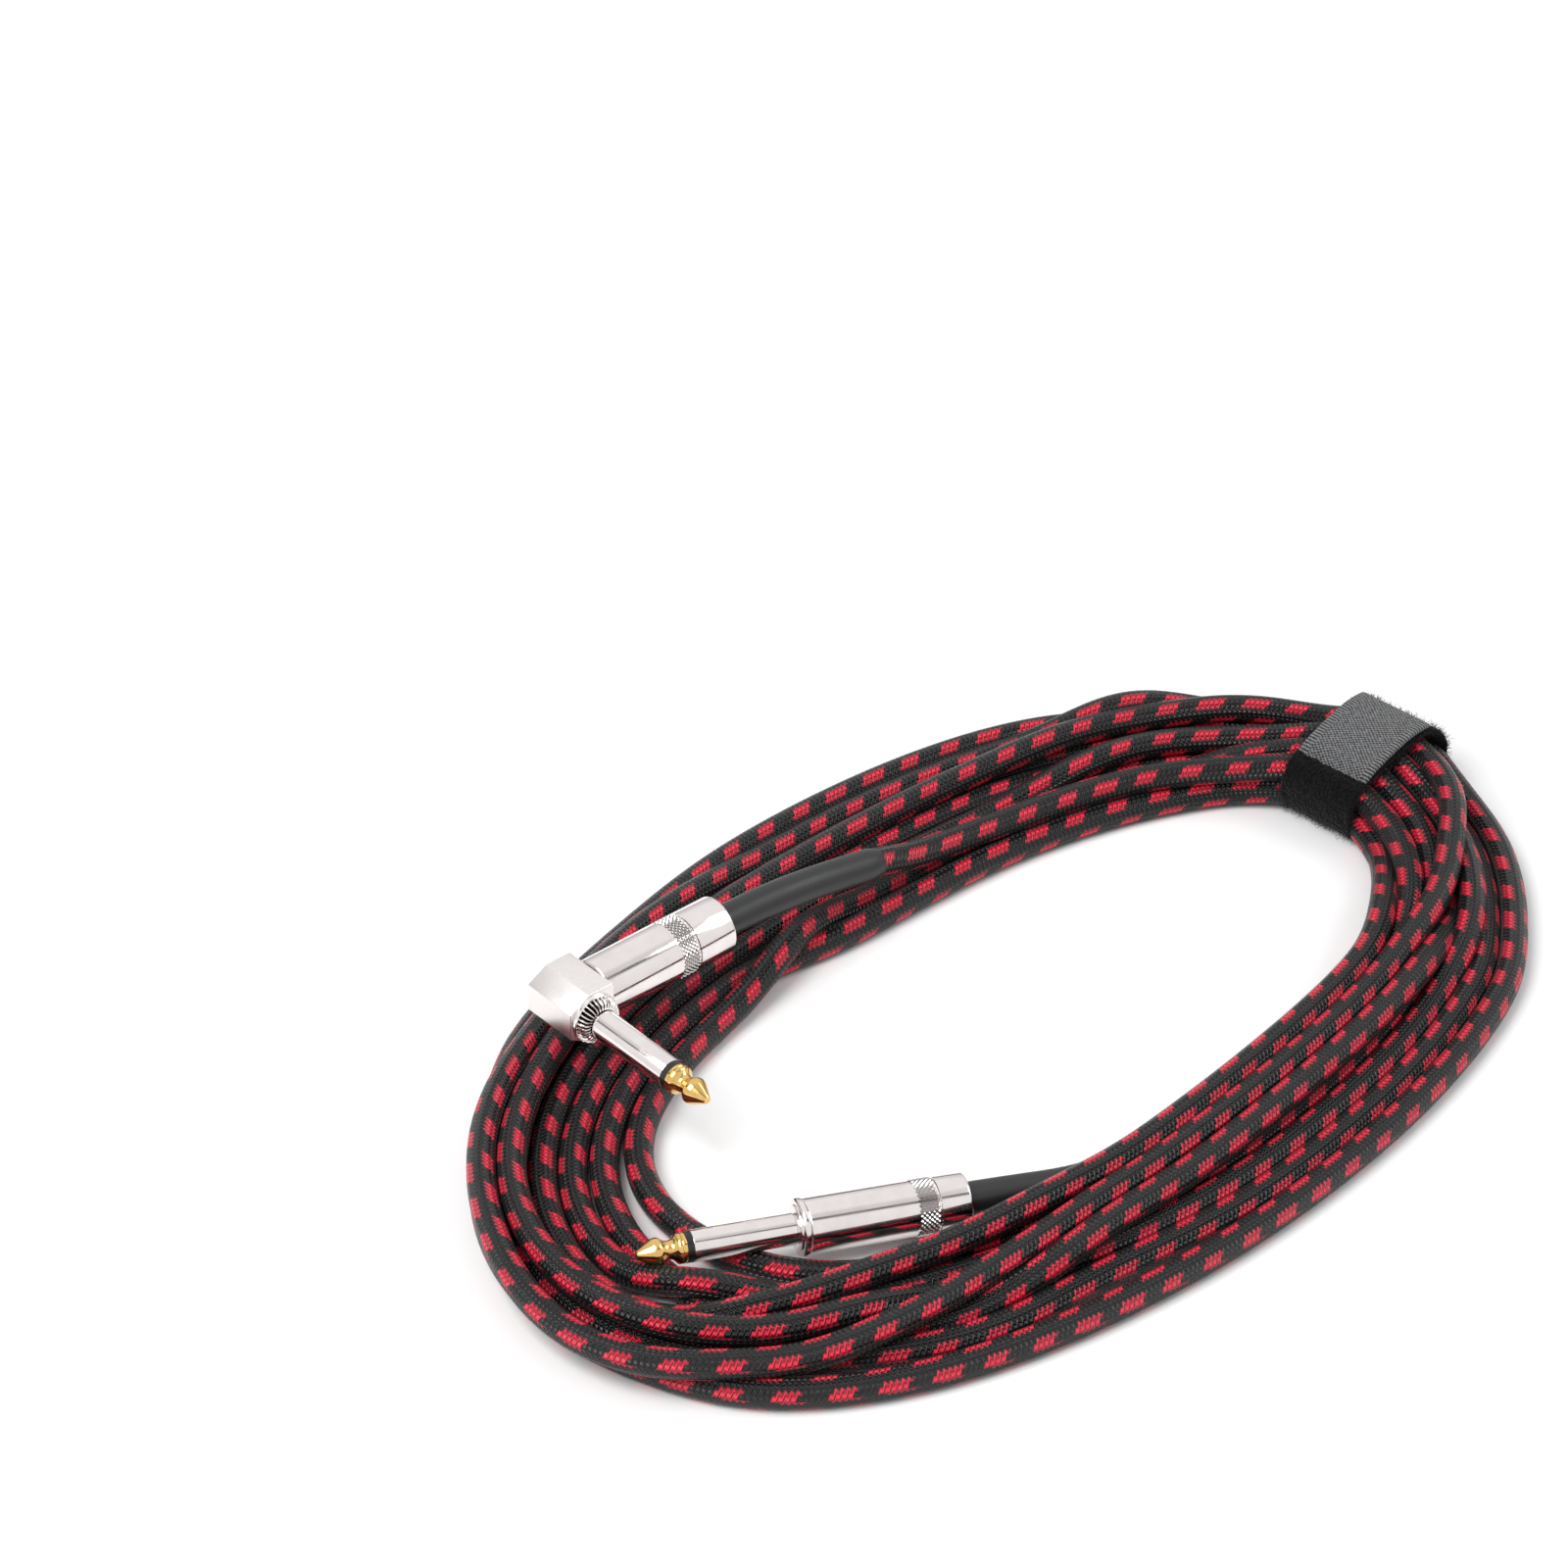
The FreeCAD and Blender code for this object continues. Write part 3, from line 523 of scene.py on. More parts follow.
# Adhesive-lined polyolefin sleeve, shrunk on: black, satin, with faint waves left by the heat
def shrinkMaterial():
    material, tree = newMaterial("satin polyolefin heat-shrink")
    place = addNode(tree, "TexCoord").outputs["Object"]
    waves = addNode(tree, "TexNoise", {"Scale": 90.0, "Detail": 2.0}, {"Vector": place})
    grain = addNode(tree, "TexNoise", {"Scale": 2500.0, "Detail": 2.0}, {"Vector": place})
    rough = addNode(tree, "MapRange", {"To Min": 0.34, "To Max": 0.52}, {"Value": waves})
    relief = addNode(tree, "Math", {"operation": "MULTIPLY_ADD", 1: 0.06}, {0: grain, 2: waves})
    bump = addNode(tree, "Bump", {"Strength": 0.35, "Distance": 0.15 * mm}, {"Height": relief})
    body = addNode(tree, "BsdfPrincipled", {"Base Color": tone("#1C1D1E"), "Specular IOR Level": 0.5},
                   {"Roughness": rough, "Normal": bump})
    addNode(tree, "OutputMaterial", None, {"Surface": body})
    return material


# The heat-shrink on each lead, from inside the barrel to where it stops: start and end along the cord
heatShrink = {
    "outerRadius": 3.5,
    "endLip": 0.12,
    "straight": (5.5, 54.0),
    "elbow": (5.5, 58.0),
}


def buildCord():
    line, _ = evenPoints(readSpline(cordRoute(), "route"), settling["step"])
    line = settleCord(line)
    line = readSpline(line[::2].tolist() + [line[-1].tolist()], "settledLine")
    line, length = evenPoints(line, cord["ringGap"])
    radius = cord["diameter"] / 2
    piece = tubeAlong("braidedCord", line, np.full(len(line), radius), cord["ringSides"])
    dress(piece, braidMaterial())
    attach(piece, "cable")
    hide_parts("cable_coil", "straight_lead", "elbow_lead")
    sleeve = shrinkMaterial()
    for name, reverse in (("straight", False), ("elbow", True)):
        start, end = heatShrink[name]
        run = line[::-1] if reverse else line
        first, last = int(start / cord["ringGap"]), int(end / cord["ringGap"])
        run = run[first:last]
        radii = np.full(len(run), heatShrink["outerRadius"])
        radii[-1] = radius + 0.05
        radii[-2] -= heatShrink["endLip"]
        tube = tubeAlong(name + "HeatShrink", run, radii, 32)
        dress(tube, sleeve)
        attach(tube, "cable")
        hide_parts(name + "_heat_shrink")
    print("cord: %.0f mm, highest %.1f mm" % (length, line[:, 2].max()))


buildCord()

# Where the plugs sit, in millimetres: each plug's front rim with the way to its cable, and each shaft's
# shoulder with the way to its tip
plugPlaces = {
    "straightRim": ((-77.919, -14.431, 7.943), (0.873256, -0.484054, -0.055822)),
    "straightShaft": ((-79.491, -13.560, 8.043), (-0.873256, 0.484054, 0.055822)),
    "elbowRim": ((-63.285, 56.575, 19.85), (0.994522, -0.104528, 0)),
    "elbowShaft": ((-69.780, 47.403, 19.85), (-0.104528, -0.994522, 0)),
}


def axisPlace(name):
    origin, way = plugPlaces[name]
    turn = Vector(way).to_track_quat("X", "Z").to_matrix().to_4x4()
    return Matrix.Translation(Vector(origin) * mm) @ turn


# A line of edges in the XZ plane, drawn on from one vertex, in millimetres
def drawnLine(name, points):
    deselectAll()
    bpy.ops.mesh.primitive_plane_add(size=mm)
    piece = bpy.context.object
    piece.name = name
    editAll(piece)
    bpy.ops.mesh.merge(type="CENTER")
    bpy.ops.transform.translate(value=(points[0][0] * mm, 0, points[0][1] * mm))
    for (x0, z0), (x1, z1) in zip(points, points[1:]):
        step = ((x1 - x0) * mm, 0, (z1 - z0) * mm)
        bpy.ops.mesh.extrude_vertices_move(TRANSFORM_OT_translate={"value": step})
    bpy.ops.mesh.select_all(action="SELECT")
    return piece


# Turned on a lathe: the profile is distance along the axis and radius, spun about the axis
def turnPiece(name, profile, steps=72):
    piece = drawnLine(name, profile)
    bpy.ops.mesh.spin(steps=steps, angle=2 * math.pi, center=(0, 0, 0), axis=(1, 0, 0))
    finishMesh(piece)
    return piece


# A tube of rings drawn out from a circle: each ring is a distance along the axis and a radius
def drawnRings(name, rings, sides):
    deselectAll()
    bpy.ops.mesh.primitive_circle_add(vertices=sides, radius=rings[0][1] * mm, fill_type="NOTHING",
                                      rotation=(0, math.pi / 2, 0))
    piece = bpy.context.object
    piece.name = name
    bpy.ops.object.transform_apply(location=True, rotation=True, scale=True)
    editAll(piece)
    bpy.ops.transform.translate(value=(rings[0][0] * mm, 0, 0))
    for (x0, r0), (x1, r1) in zip(rings, rings[1:]):
        bpy.ops.mesh.extrude_edges_move(TRANSFORM_OT_translate={"value": ((x1 - x0) * mm, 0, 0)})
        bpy.ops.transform.resize(value=(1, r1 / r0, r1 / r0), center_override=(0, 0, 0))
    bpy.ops.mesh.select_all(action="SELECT")
    bpy.ops.mesh.normals_make_consistent(inside=False)
    return piece


# Notes for the material which vertices stand up and which lie in a groove, where it paints shade
def markCrests(piece, chosen):
    crest = piece.data.attributes.new("crest", "FLOAT", "POINT")
    crest.data.foreach_set("value", [float(vertex.select == chosen) for vertex in piece.data.vertices])


# Diamond knurling: every other corner of a fine grid is raised, so each becomes a point with four flanks
def knurlRing(name, shape):
    rows, sides = shape["rows"], shape["sides"]
    step = shape["length"] / rows
    piece = drawnRings(name, [(shape["start"] + step * i, shape["radius"]) for i in range(rows + 1)], sides)
    bpy.ops.mesh.select_all(action="DESELECT")
    bpy.ops.object.mode_set(mode="OBJECT")
    for vertex in piece.data.vertices:
        row = round((vertex.co.x / mm - shape["start"]) / step)
        lane = round(math.atan2(vertex.co.z, vertex.co.y) / (2 * math.pi / sides))
        vertex.select = 0 < row < rows and (row + lane) % 2 == 0
    markCrests(piece, True)
    bpy.ops.object.mode_set(mode="EDIT")
    swell = 1 + shape["height"] / shape["radius"]
    bpy.ops.transform.resize(value=(1, swell, swell), center_override=(0, 0, 0))
    bpy.ops.mesh.select_all(action="SELECT")
    bpy.ops.mesh.quads_convert_to_tris(quad_method="SHORTEST_DIAGONAL")
    workOn(piece)
    bpy.ops.object.shade_smooth_by_angle(angle=math.radians(12))
    return piece


# The same nickel over knurling and teeth: duller, with painted shade down in the grooves
def groovedNickelMaterial():
    material, tree = newMaterial("nickel plate over knurling")
    place = addNode(tree, "TexCoord").outputs["Object"]
    patches = addNode(tree, "TexNoise", {"Scale": 700.0, "Detail": 4.0}, {"Vector": place})
    rough = addNode(tree, "MapRange", {"From Min": 0.3, "From Max": 0.75, "To Min": 0.12, "To Max": 0.26},
                    {"Value": patches})
    crest = addNode(tree, "Attribute", {"attribute_name": "crest"})
    height = addNode(tree, "MapRange", {"From Min": 0.2, "From Max": 0.65}, {"Value": crest.outputs["Fac"]})
    # painted shade: the grooves get a near-black colour and the crests the bright nickel
    colour = addNode(tree, "Mix", {"data_type": "RGBA", 6: tone("#171413"), 7: tone("#F6F1EF")}, {0: height})
    body = addNode(tree, "BsdfPrincipled", {"Metallic": 1.0},
                   {"Base Color": colour.outputs[2], "Roughness": rough})
    addNode(tree, "OutputMaterial", None, {"Surface": body})
    return material


# Bright nickel plate on turned brass: a warm mirror with a faint orange peel and softer patches. The
# die-cast head is tumbled before plating: the same nickel, but satin, with a fine grit.
nickelPlates = {
    "polished nickel plate": {
        "grain": (1400.0, 3.0), "patches": 260.0, "rough": (0.06, 0.18), "tones": ("#F1EBEA", "#DED6D4"),
        "relief": 0.12, "toneFollows": "patches",
    },
    "satin nickel on die-cast zinc": {
        "grain": (2200.0, 2.0), "patches": 180.0, "rough": (0.28, 0.34), "tones": ("#F6F1F0", "#E4DDDB"),
        "relief": 0.15, "toneFollows": "grain",
    },
}


def nickelMaterial(name):
    plate = nickelPlates[name]
    scale, detail = plate["grain"]
    least, most = plate["rough"]
    light, dark = plate["tones"]
    material, tree = newMaterial(name)
    place = addNode(tree, "TexCoord").outputs["Object"]
    grain = addNode(tree, "TexNoise", {"Scale": scale, "Detail": detail}, {"Vector": place})
    patches = addNode(tree, "TexNoise", {"Scale": plate["patches"], "Detail": 4.0}, {"Vector": place})
    rough = addNode(tree, "MapRange", {"From Min": 0.3, "From Max": 0.75, "To Min": least, "To Max": most},
                    {"Value": patches})
    share = grain if plate["toneFollows"] == "grain" else patches
    warmth = addNode(tree, "Mix", {"data_type": "RGBA", 6: tone(light), 7: tone(dark)}, {0: share})
    bump = addNode(tree, "Bump", {"Strength": plate["relief"], "Distance": 0.03 * mm}, {"Height": grain})
    body = addNode(tree, "BsdfPrincipled", {"Metallic": 1.0},
                   {"Base Color": warmth.outputs[2], "Roughness": rough, "Normal": bump})
    addNode(tree, "OutputMaterial", None, {"Surface": body})
    return material


# Plain metals of the contacts and what is soldered inside, as colour pairs, roughness and grit size in mm
metals = {
    "gold plate on turned brass": ("#F3D28C", "#D2A256", 0.07, 0.16, 0.6),
    "drawn brass rod": ("#D8B25A", "#B48A3A", 0.22, 0.4, 0.4),
    "hot-dipped tin": ("#C9CACB", "#A9ABAC", 0.3, 0.55, 0.9),
    "bright copper strands": ("#D98A5B", "#A85E35", 0.28, 0.45, 0.35),
}


# Two tones, a roughness and a faint relief that all follow one grit
def grittyMaterial(name, finish, detail, relief, depth, settings):
    light, dark, least, most, grit = finish[:5]
    material, tree = newMaterial(name)
    place = addNode(tree, "TexCoord").outputs["Object"]
    grain = addNode(tree, "TexNoise", {"Scale": 1000 / grit / 3, "Detail": detail}, {"Vector": place})
    colour = addNode(tree, "Mix", {"data_type": "RGBA", 6: tone(light), 7: tone(dark)}, {0: grain})
    rough = addNode(tree, "MapRange", {"From Min": 0.3, "From Max": 0.7, "To Min": least, "To Max": most},
                    {"Value": grain})
    bump = addNode(tree, "Bump", {"Strength": relief, "Distance": depth * mm}, {"Height": grain})
    body = addNode(tree, "BsdfPrincipled", settings,
                   {"Base Color": colour.outputs[2], "Roughness": rough, "Normal": bump})
    addNode(tree, "OutputMaterial", None, {"Surface": body})
    return material


def metalMaterial(name):
    return grittyMaterial(name, metals[name], 4.0, 0.1, 0.04, {"Metallic": 1.0})


# Plastics and fibre, as colour pairs, roughness, grit size in mm and how much light they let through
plastics = {
    "moulded black nylon": ("#1B1B1C", "#0C0C0D", 0.28, 0.42, 0.3, 0.0),
    "white acetal tube": ("#EFEDE6", "#DAD7CE", 0.3, 0.45, 0.4, 0.0),
    "vulcanised fibre": ("#7E4A36", "#5E3526", 0.55, 0.75, 0.25, 0.0),
    "white wire insulation": ("#E8E4D8", "#CFCABC", 0.35, 0.5, 0.5, 0.0),
    "clear vinyl tube": ("#E6ECEE", "#CBD4D8", 0.12, 0.3, 0.8, 0.8),
}


def plasticMaterial(name):
    clear = plastics[name][5]
    return grittyMaterial(name, plastics[name], 3.0, 0.15, 0.05, {"Transmission Weight": clear, "IOR": 1.5})


nickel = nickelMaterial("polished nickel plate")
knurlNickel = groovedNickelMaterial()
satinNickel = nickelMaterial("satin nickel on die-cast zinc")
gold = metalMaterial("gold plate on turned brass")
nodeFinishes = {
    "insulator_ring": plasticMaterial("moulded black nylon"),
    "inner_insulator": plasticMaterial("white acetal tube"),
    "tip_rod": metalMaterial("drawn brass rod"),
    "ground_lug": metalMaterial("hot-dipped tin"),
    "rear_washer": plasticMaterial("vulcanised fibre"),
    "core_wire": plasticMaterial("white wire insulation"),
    "shield_tail": metalMaterial("bright copper strands"),
    "liner": plasticMaterial("clear vinyl tube"),
}
nodeFinishes["tip_lug"] = nodeFinishes["ground_lug"]

# Tip contact: pointed nose, bulb, waist and collar, as distance from the nose's end and radius
tipProfile = [(0, 0), (0, 0.72), (0.18, 0.92), (0.6, 1.12), (2.9, 2.56), (3.4, 2.76), (3.9, 2.85),
              (4.4, 2.8), (4.75, 2.6), (5.3, 2.22), (5.9, 1.92), (6.4, 1.84), (6.9, 1.9), (7.3, 2.16),
              (7.7, 2.62), (7.95, 2.92), (8.25, 3.06), (8.6, 3.08), (8.75, 2.98), (8.9, 3.08), (9.4, 3.1),
              (9.6, 3.04), (9.6, 0)]
shaft = {
    "length": 32.0,
    "radius": 3.175,
    "sleeveFront": 21.1,
    "bore": 1.76,
    "shankRadius": 2.95,
    "threadRoot": 4.28,
    "threadPitch": 0.9,
    "neckRadius": 4.7,
    "threadStart": -2.5,
    "neckEnd": -9.8,
    "elbowEnd": -5.9,
    "flange": [(0, 4.4), (-0.08, 4.6), (-0.35, 4.7), (-0.36, 5.3), (-0.42, 5.55), (-0.6, 5.76),
               (-0.85, 5.87), (-1.1, 5.9), (-1.45, 5.9), (-1.62, 5.86), (-1.75, 5.74), (-1.8, 5.55)],
}
straightBarrel = {
    "radius": 5.6, "length": 33.0, "bore": 4.75, "hole": 3.75, "rearWall": 1.5, "bandDepth": 0.26,
    "knurl": {"start": 22.0, "length": 4.5, "radius": 5.3, "rows": 9, "sides": 66, "height": 0.42},
}
elbowBarrel = {
    "radius": 6.3, "length": 32.9, "bore": 5.35, "hole": 4.15, "rearWall": 1.5, "bandDepth": 0.26,
    "knurl": {"start": 18.9, "length": 4.5, "radius": 6.0, "rows": 9, "sides": 76, "height": 0.42},
}


def buildTips():
    profile = [(shaft["length"] - d, r) for d, r in tipProfile]
    for plug in ("straight", "elbow"):
        piece = turnPiece(plug + "TipContact", profile)
        putAt(piece, axisPlace(plug + "Shaft"))
        dress(piece, gold)
        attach(piece, "cable")
        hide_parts(plug + "_tip")


def buildSleeves():
    front, radius, bore, shank = shaft["sleeveFront"], shaft["radius"], shaft["bore"], shaft["shankRadius"]
    shell = [(front, bore), (front, radius - 0.18), (front - 0.06, radius - 0.05), (front - 0.2, radius),
             (0.5, radius), (0.42, shank)]
    flange = [(0, shank)] + shaft["flange"] + [(shaft["flange"][-1][0], shaft["neckRadius"])]
    thread = []
    x = shaft["threadStart"]
    while x - shaft["threadPitch"] > shaft["neckEnd"]:
        thread += [(x, shaft["neckRadius"]), (x - shaft["threadPitch"] / 2, shaft["threadRoot"])]
        x -= shaft["threadPitch"]
    rear = [(shaft["neckEnd"], shaft["threadRoot"]), (shaft["neckEnd"], bore), (front, bore)]
    straight = turnPiece("straightSleeveContact", shell + flange + thread + rear)
    end = shaft["elbowEnd"]
    elbow = turnPiece("elbowSleeveContact", shell + [(end, shank), (end, bore), (front, bore)])
    for piece, plug in ((straight, "straight"), (elbow, "elbow")):
        putAt(piece, axisPlace(plug + "Shaft"))
        dress(piece, nickel)
        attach(piece, "cable")
        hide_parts(plug + "_sleeve")


def buildBarrels():
    for plug, barrel in (("straight", straightBarrel), ("elbow", elbowBarrel)):
        r, end, bore, hole = barrel["radius"], barrel["length"], barrel["bore"], barrel["hole"]
        knurl, low = barrel["knurl"], barrel["radius"] - barrel["bandDepth"]
        start, stop = knurl["start"], knurl["start"] + knurl["length"]
        wall = end - barrel["rearWall"]
        profile = [(0.05, bore), (0.05, r - 0.3), (0.1, r - 0.14), (0.24, r - 0.03), (0.4, r),
                   (start - 0.2, r), (start - 0.08, low), (stop + 0.08, low), (stop + 0.2, r),
                   (end - 0.5, r), (end - 0.28, r - 0.06), (end - 0.1, r - 0.2), (end - 0.02, r - 0.36),
                   (end, r - 0.52), (end, hole), (wall, hole), (wall, bore), (0.05, bore)]
        body = turnPiece(plug + "BarrelShell", profile, 96)
        band = knurlRing(plug + "KnurlBand", knurl)
        for piece, finish in ((body, nickel), (band, knurlNickel)):
            putAt(piece, axisPlace(plug + "Rim"))
            dress(piece, finish)
            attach(piece, plug + "_barrel")
        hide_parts(plug + "_barrel")


# The right-angle plug's head and the serrated ring that its shaft is pressed into. The outline is the upper
# half of the head's side, back from the barrel's rim.
elbowHead = {
    "outline": [(-11.3, 3.15), (-6.4, 5.85), (-0.5, 5.85), (0, 5.35)],
    "depth": 13.6,
    "edge": 0.25,
    "shaftBack": -5.5,
    "cavity": (3.4, -8.7),
    "shankHole": 2.98,
    "neckRadius": 5.28,
    "neckLength": 8.0,
    "collarSides": 128,
    "toothDepth": 0.87,
    "toothDrop": 0.3,
    "neckStart": -0.4,
    "threadStart": 0.5,
    "threadDepth": 0.45,
    "collar": [(-3.05, 5.1), (-3.0, 5.4), (-2.2, 5.4), (-2.0, 5.25), (-1.95, 5.02), (-1.0, 4.92),
               (-0.3, 4.4), (-0.08, 3.55), (0, 3.2)],
    "teethFrom": -1.97,
}


def cutBore(piece, radius, depth, centre, turn):
    deselectAll()
    bpy.ops.mesh.primitive_cylinder_add(vertices=64, radius=radius * mm, depth=depth * mm,
                                        location=[c * mm for c in centre], rotation=turn)
    cutter = bpy.context.object
    bore = piece.modifiers.new("bore", "BOOLEAN")
    bore.operation = "DIFFERENCE"
    bore.object = cutter
    applyModifiers(piece)
    bpy.data.objects.remove(cutter)


def buildElbowHead():
    upper = elbowHead["outline"]
    outline = upper + [(x, -z) for x, z in reversed(upper)]
    head = drawnLine("elbowHeadBlock", outline + outline[:1])
    bpy.ops.mesh.remove_doubles(threshold=0.00001)
    bpy.ops.mesh.edge_face_add()
    bpy.ops.mesh.select_all(action="SELECT")
    depth = elbowHead["depth"]
    bpy.ops.mesh.extrude_region_move(TRANSFORM_OT_translate={"value": (0, depth * mm, 0)})
    bpy.ops.mesh.select_all(action="SELECT")
    bpy.ops.transform.translate(value=(0, -depth / 2 * mm, 0))
    bpy.ops.mesh.normals_make_consistent(inside=False)
    workOn(head)
    bevel = head.modifiers.new("easedEdges", "BEVEL")
    bevel.width = elbowHead["edge"] * mm
    bevel.segments = 3
    bevel.limit_method = "ANGLE"
    bevel.angle_limit = math.radians(20)
    applyModifiers(head)
    radius, start = elbowHead["cavity"]
    cutBore(head, radius, 1 - start, ((1 + start) / 2, 0, 0), (0, math.pi / 2, 0))
    cutBore(head, elbowHead["shankHole"], depth / 2 + 1, (elbowHead["shaftBack"], -depth / 4 - 0.5, 0),
            (math.pi / 2, 0, 0))
    workOn(head)
    bpy.ops.object.shade_smooth_by_angle(angle=math.radians(22))
    crest, length = elbowHead["neckRadius"], elbowHead["neckLength"]
    back, x, root = elbowHead["neckStart"], elbowHead["threadStart"], crest - elbowHead["threadDepth"]
    profile = [(back, radius), (back, root), (x, root)]
    while x + shaft["threadPitch"] < length:
        profile += [(x + shaft["threadPitch"] / 2, crest), (x + shaft["threadPitch"], root)]
        x += shaft["threadPitch"]
    neck = turnPiece("elbowNeck", profile + [(length, root), (length, radius), (back, radius)])
    for piece, finish in ((head, satinNickel), (neck, nickel)):
        putAt(piece, axisPlace("elbowRim"))
        dress(piece, finish)
        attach(piece, "cable")
    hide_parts("elbow_head")
    collar = drawnRings("elbowSerratedCollar", elbowHead["collar"], elbowHead["collarSides"])
    bpy.ops.mesh.select_all(action="DESELECT")
    bpy.ops.object.mode_set(mode="OBJECT")
    for vertex in collar.data.vertices:
        lane = round(math.atan2(vertex.co.z, vertex.co.y) / (2 * math.pi / elbowHead["collarSides"]))
        vertex.select = lane % 4 < 2 and elbowHead["teethFrom"] * mm < vertex.co.x < -0.01 * mm
    markCrests(collar, False)
    bpy.ops.object.mode_set(mode="EDIT")
    bpy.ops.transform.resize(value=(1, elbowHead["toothDepth"], elbowHead["toothDepth"]),
                             center_override=(0, 0, 0))
    bpy.ops.transform.translate(value=(-elbowHead["toothDrop"] * mm, 0, 0))
    workOn(collar)
    bpy.ops.object.shade_smooth_by_angle(angle=math.radians(15))
    putAt(collar, axisPlace("elbowShaft"))
    dress(collar, knurlNickel)
    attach(collar, "cable")
    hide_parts("elbow_shaft_collar")


buildTips()
buildSleeves()
buildBarrels()
buildElbowHead()
print("plugs: tips, sleeves, knurled barrels and the elbow's head")

# The tie: a brushed loop band round the bundle and a woven hook tab sewn to it, in millimetres
tie = {
    "width": 20.0,
    "thickness": 1.2,
    "section": [(104, 1.0), (116, 1.0), (128, 1.0), (132.2, 2.8), (133.7, 7.5), (132.8, 11.6), (128.4, 16.2),
                (121.5, 16.8), (115, 15.9), (108, 14.3), (102.6, 13.4), (100.0, 10), (99.7, 5),
                (100.4, 1.8)],
    "fibres": 9000,
    "fibreLength": (0.5, 1.7),
    "fibreWidth": 0.07,
    "tabWidth": 18.5,
    "tabThickness": 1.2,
    "tabLine": [(126.9, 17.6), (124.5, 18.1), (120.5, 18.2), (115, 17.3), (109.5, 15.9), (106, 14.8),
                (104.2, 13.2)],
    "seed": 7,
    "middle": (116.5, 0, 8.5),
    "napReach": 134.6,
    "selvage": 7.2,
    "ribGap": 0.8,
    "floatGap": 1.1,
}


# Brushed nylon loops: nearly black, dull, with a soft nap that catches a little light at grazing angles
def loopMaterial():
    material, tree = newMaterial("brushed nylon loop fabric")
    place = addNode(tree, "TexCoord").outputs["Object"]
    tufts = addNode(tree, "TexVoronoi", {"Scale": 1000 / 0.7}, {"Vector": place})
    nap = addNode(tree, "TexNoise", {"Scale": 900.0, "Detail": 6.0, "Roughness": 0.7}, {"Vector": place})
    mixed = addNode(tree, "Math", {"operation": "MULTIPLY_ADD", 1: 0.5}, {0: nap, 2: tufts})
    colour = addNode(tree, "Mix", {"data_type": "RGBA", 6: tone("#161617"), 7: tone("#050505")}, {0: mixed})
    bump = addNode(tree, "Bump", {"Strength": 0.8, "Distance": 0.35 * mm}, {"Height": mixed})
    body = addNode(tree, "BsdfPrincipled",
                   {"Roughness": 0.95, "Sheen Weight": 0.1, "Sheen Roughness": 0.5,
                    "Specular IOR Level": 0.1}, {"Base Color": colour.outputs[2], "Normal": bump})
    addNode(tree, "OutputMaterial", None, {"Surface": body})
    return material


# Woven nylon tape: ribs across it 0.8 mm apart, coarse floats between, and a ribbed selvage at its edges
def hookMaterial():
    material, tree = newMaterial("woven nylon hook tape")
    place = addNode(tree, "UVMap", {"uv_map": "alongTape"})
    axes = addNode(tree, "SeparateXYZ", None, {0: place})
    ribs = addNode(tree, "Math", {"operation": "MULTIPLY", 1: 2 * math.pi / tie["ribGap"]},
                   {0: axes.outputs[0]})
    ribs = addNode(tree, "Math", {"operation": "SINE"}, {0: ribs})
    floats = addNode(tree, "Math", {"operation": "MULTIPLY", 1: 2 * math.pi / tie["floatGap"]},
                     {0: axes.outputs[1]})
    floats = addNode(tree, "Math", {"operation": "SINE"}, {0: floats})
    weave = addNode(tree, "Math", {"operation": "MULTIPLY"}, {0: ribs, 1: floats})
    speck = addNode(tree, "Mapping", {"Scale": (1.7, 0.9, 1.0)}, {"Vector": place})
    speck = addNode(tree, "TexNoise", {"Scale": 1.1, "Detail": 6.0, "Roughness": 0.85}, {"Vector": speck})
    edge = addNode(tree, "Math", {"operation": "ABSOLUTE"}, {0: axes.outputs[1]})
    edge = addNode(tree, "Math", {"operation": "GREATER_THAN", 1: tie["selvage"]}, {0: edge})
    cloth = addNode(tree, "Mix", {"data_type": "FLOAT"}, {0: edge, 2: weave, 3: ribs})
    lift = addNode(tree, "Math", {"operation": "MULTIPLY_ADD", 1: 0.16, 2: 0.06}, {0: cloth})
    lift = addNode(tree, "Math", {"operation": "ADD", "use_clamp": True}, {0: lift, 1: speck})
    # the colour follows the bump's lift: rib tops are painted lighter and the grooves between painted
    # darker, painted highlight and painted shade over the speckle
    colour = addNode(tree, "ValToRGB", None, {0: lift})
    stops = colour.color_ramp.elements
    stops[0].position, stops[0].color = 0.47, tone("#050505")
    stops[1].position, stops[1].color = 0.68, tone("#88898B")
    bump = addNode(tree, "Bump", {"Strength": 1.0, "Distance": 0.5 * mm}, {"Height": lift})
    body = addNode(tree, "BsdfPrincipled",
                   {"Roughness": 0.7, "Sheen Weight": 0.15, "Specular IOR Level": 0.35},
                   {"Base Color": colour, "Normal": bump})
    addNode(tree, "OutputMaterial", None, {"Surface": body})
    return material


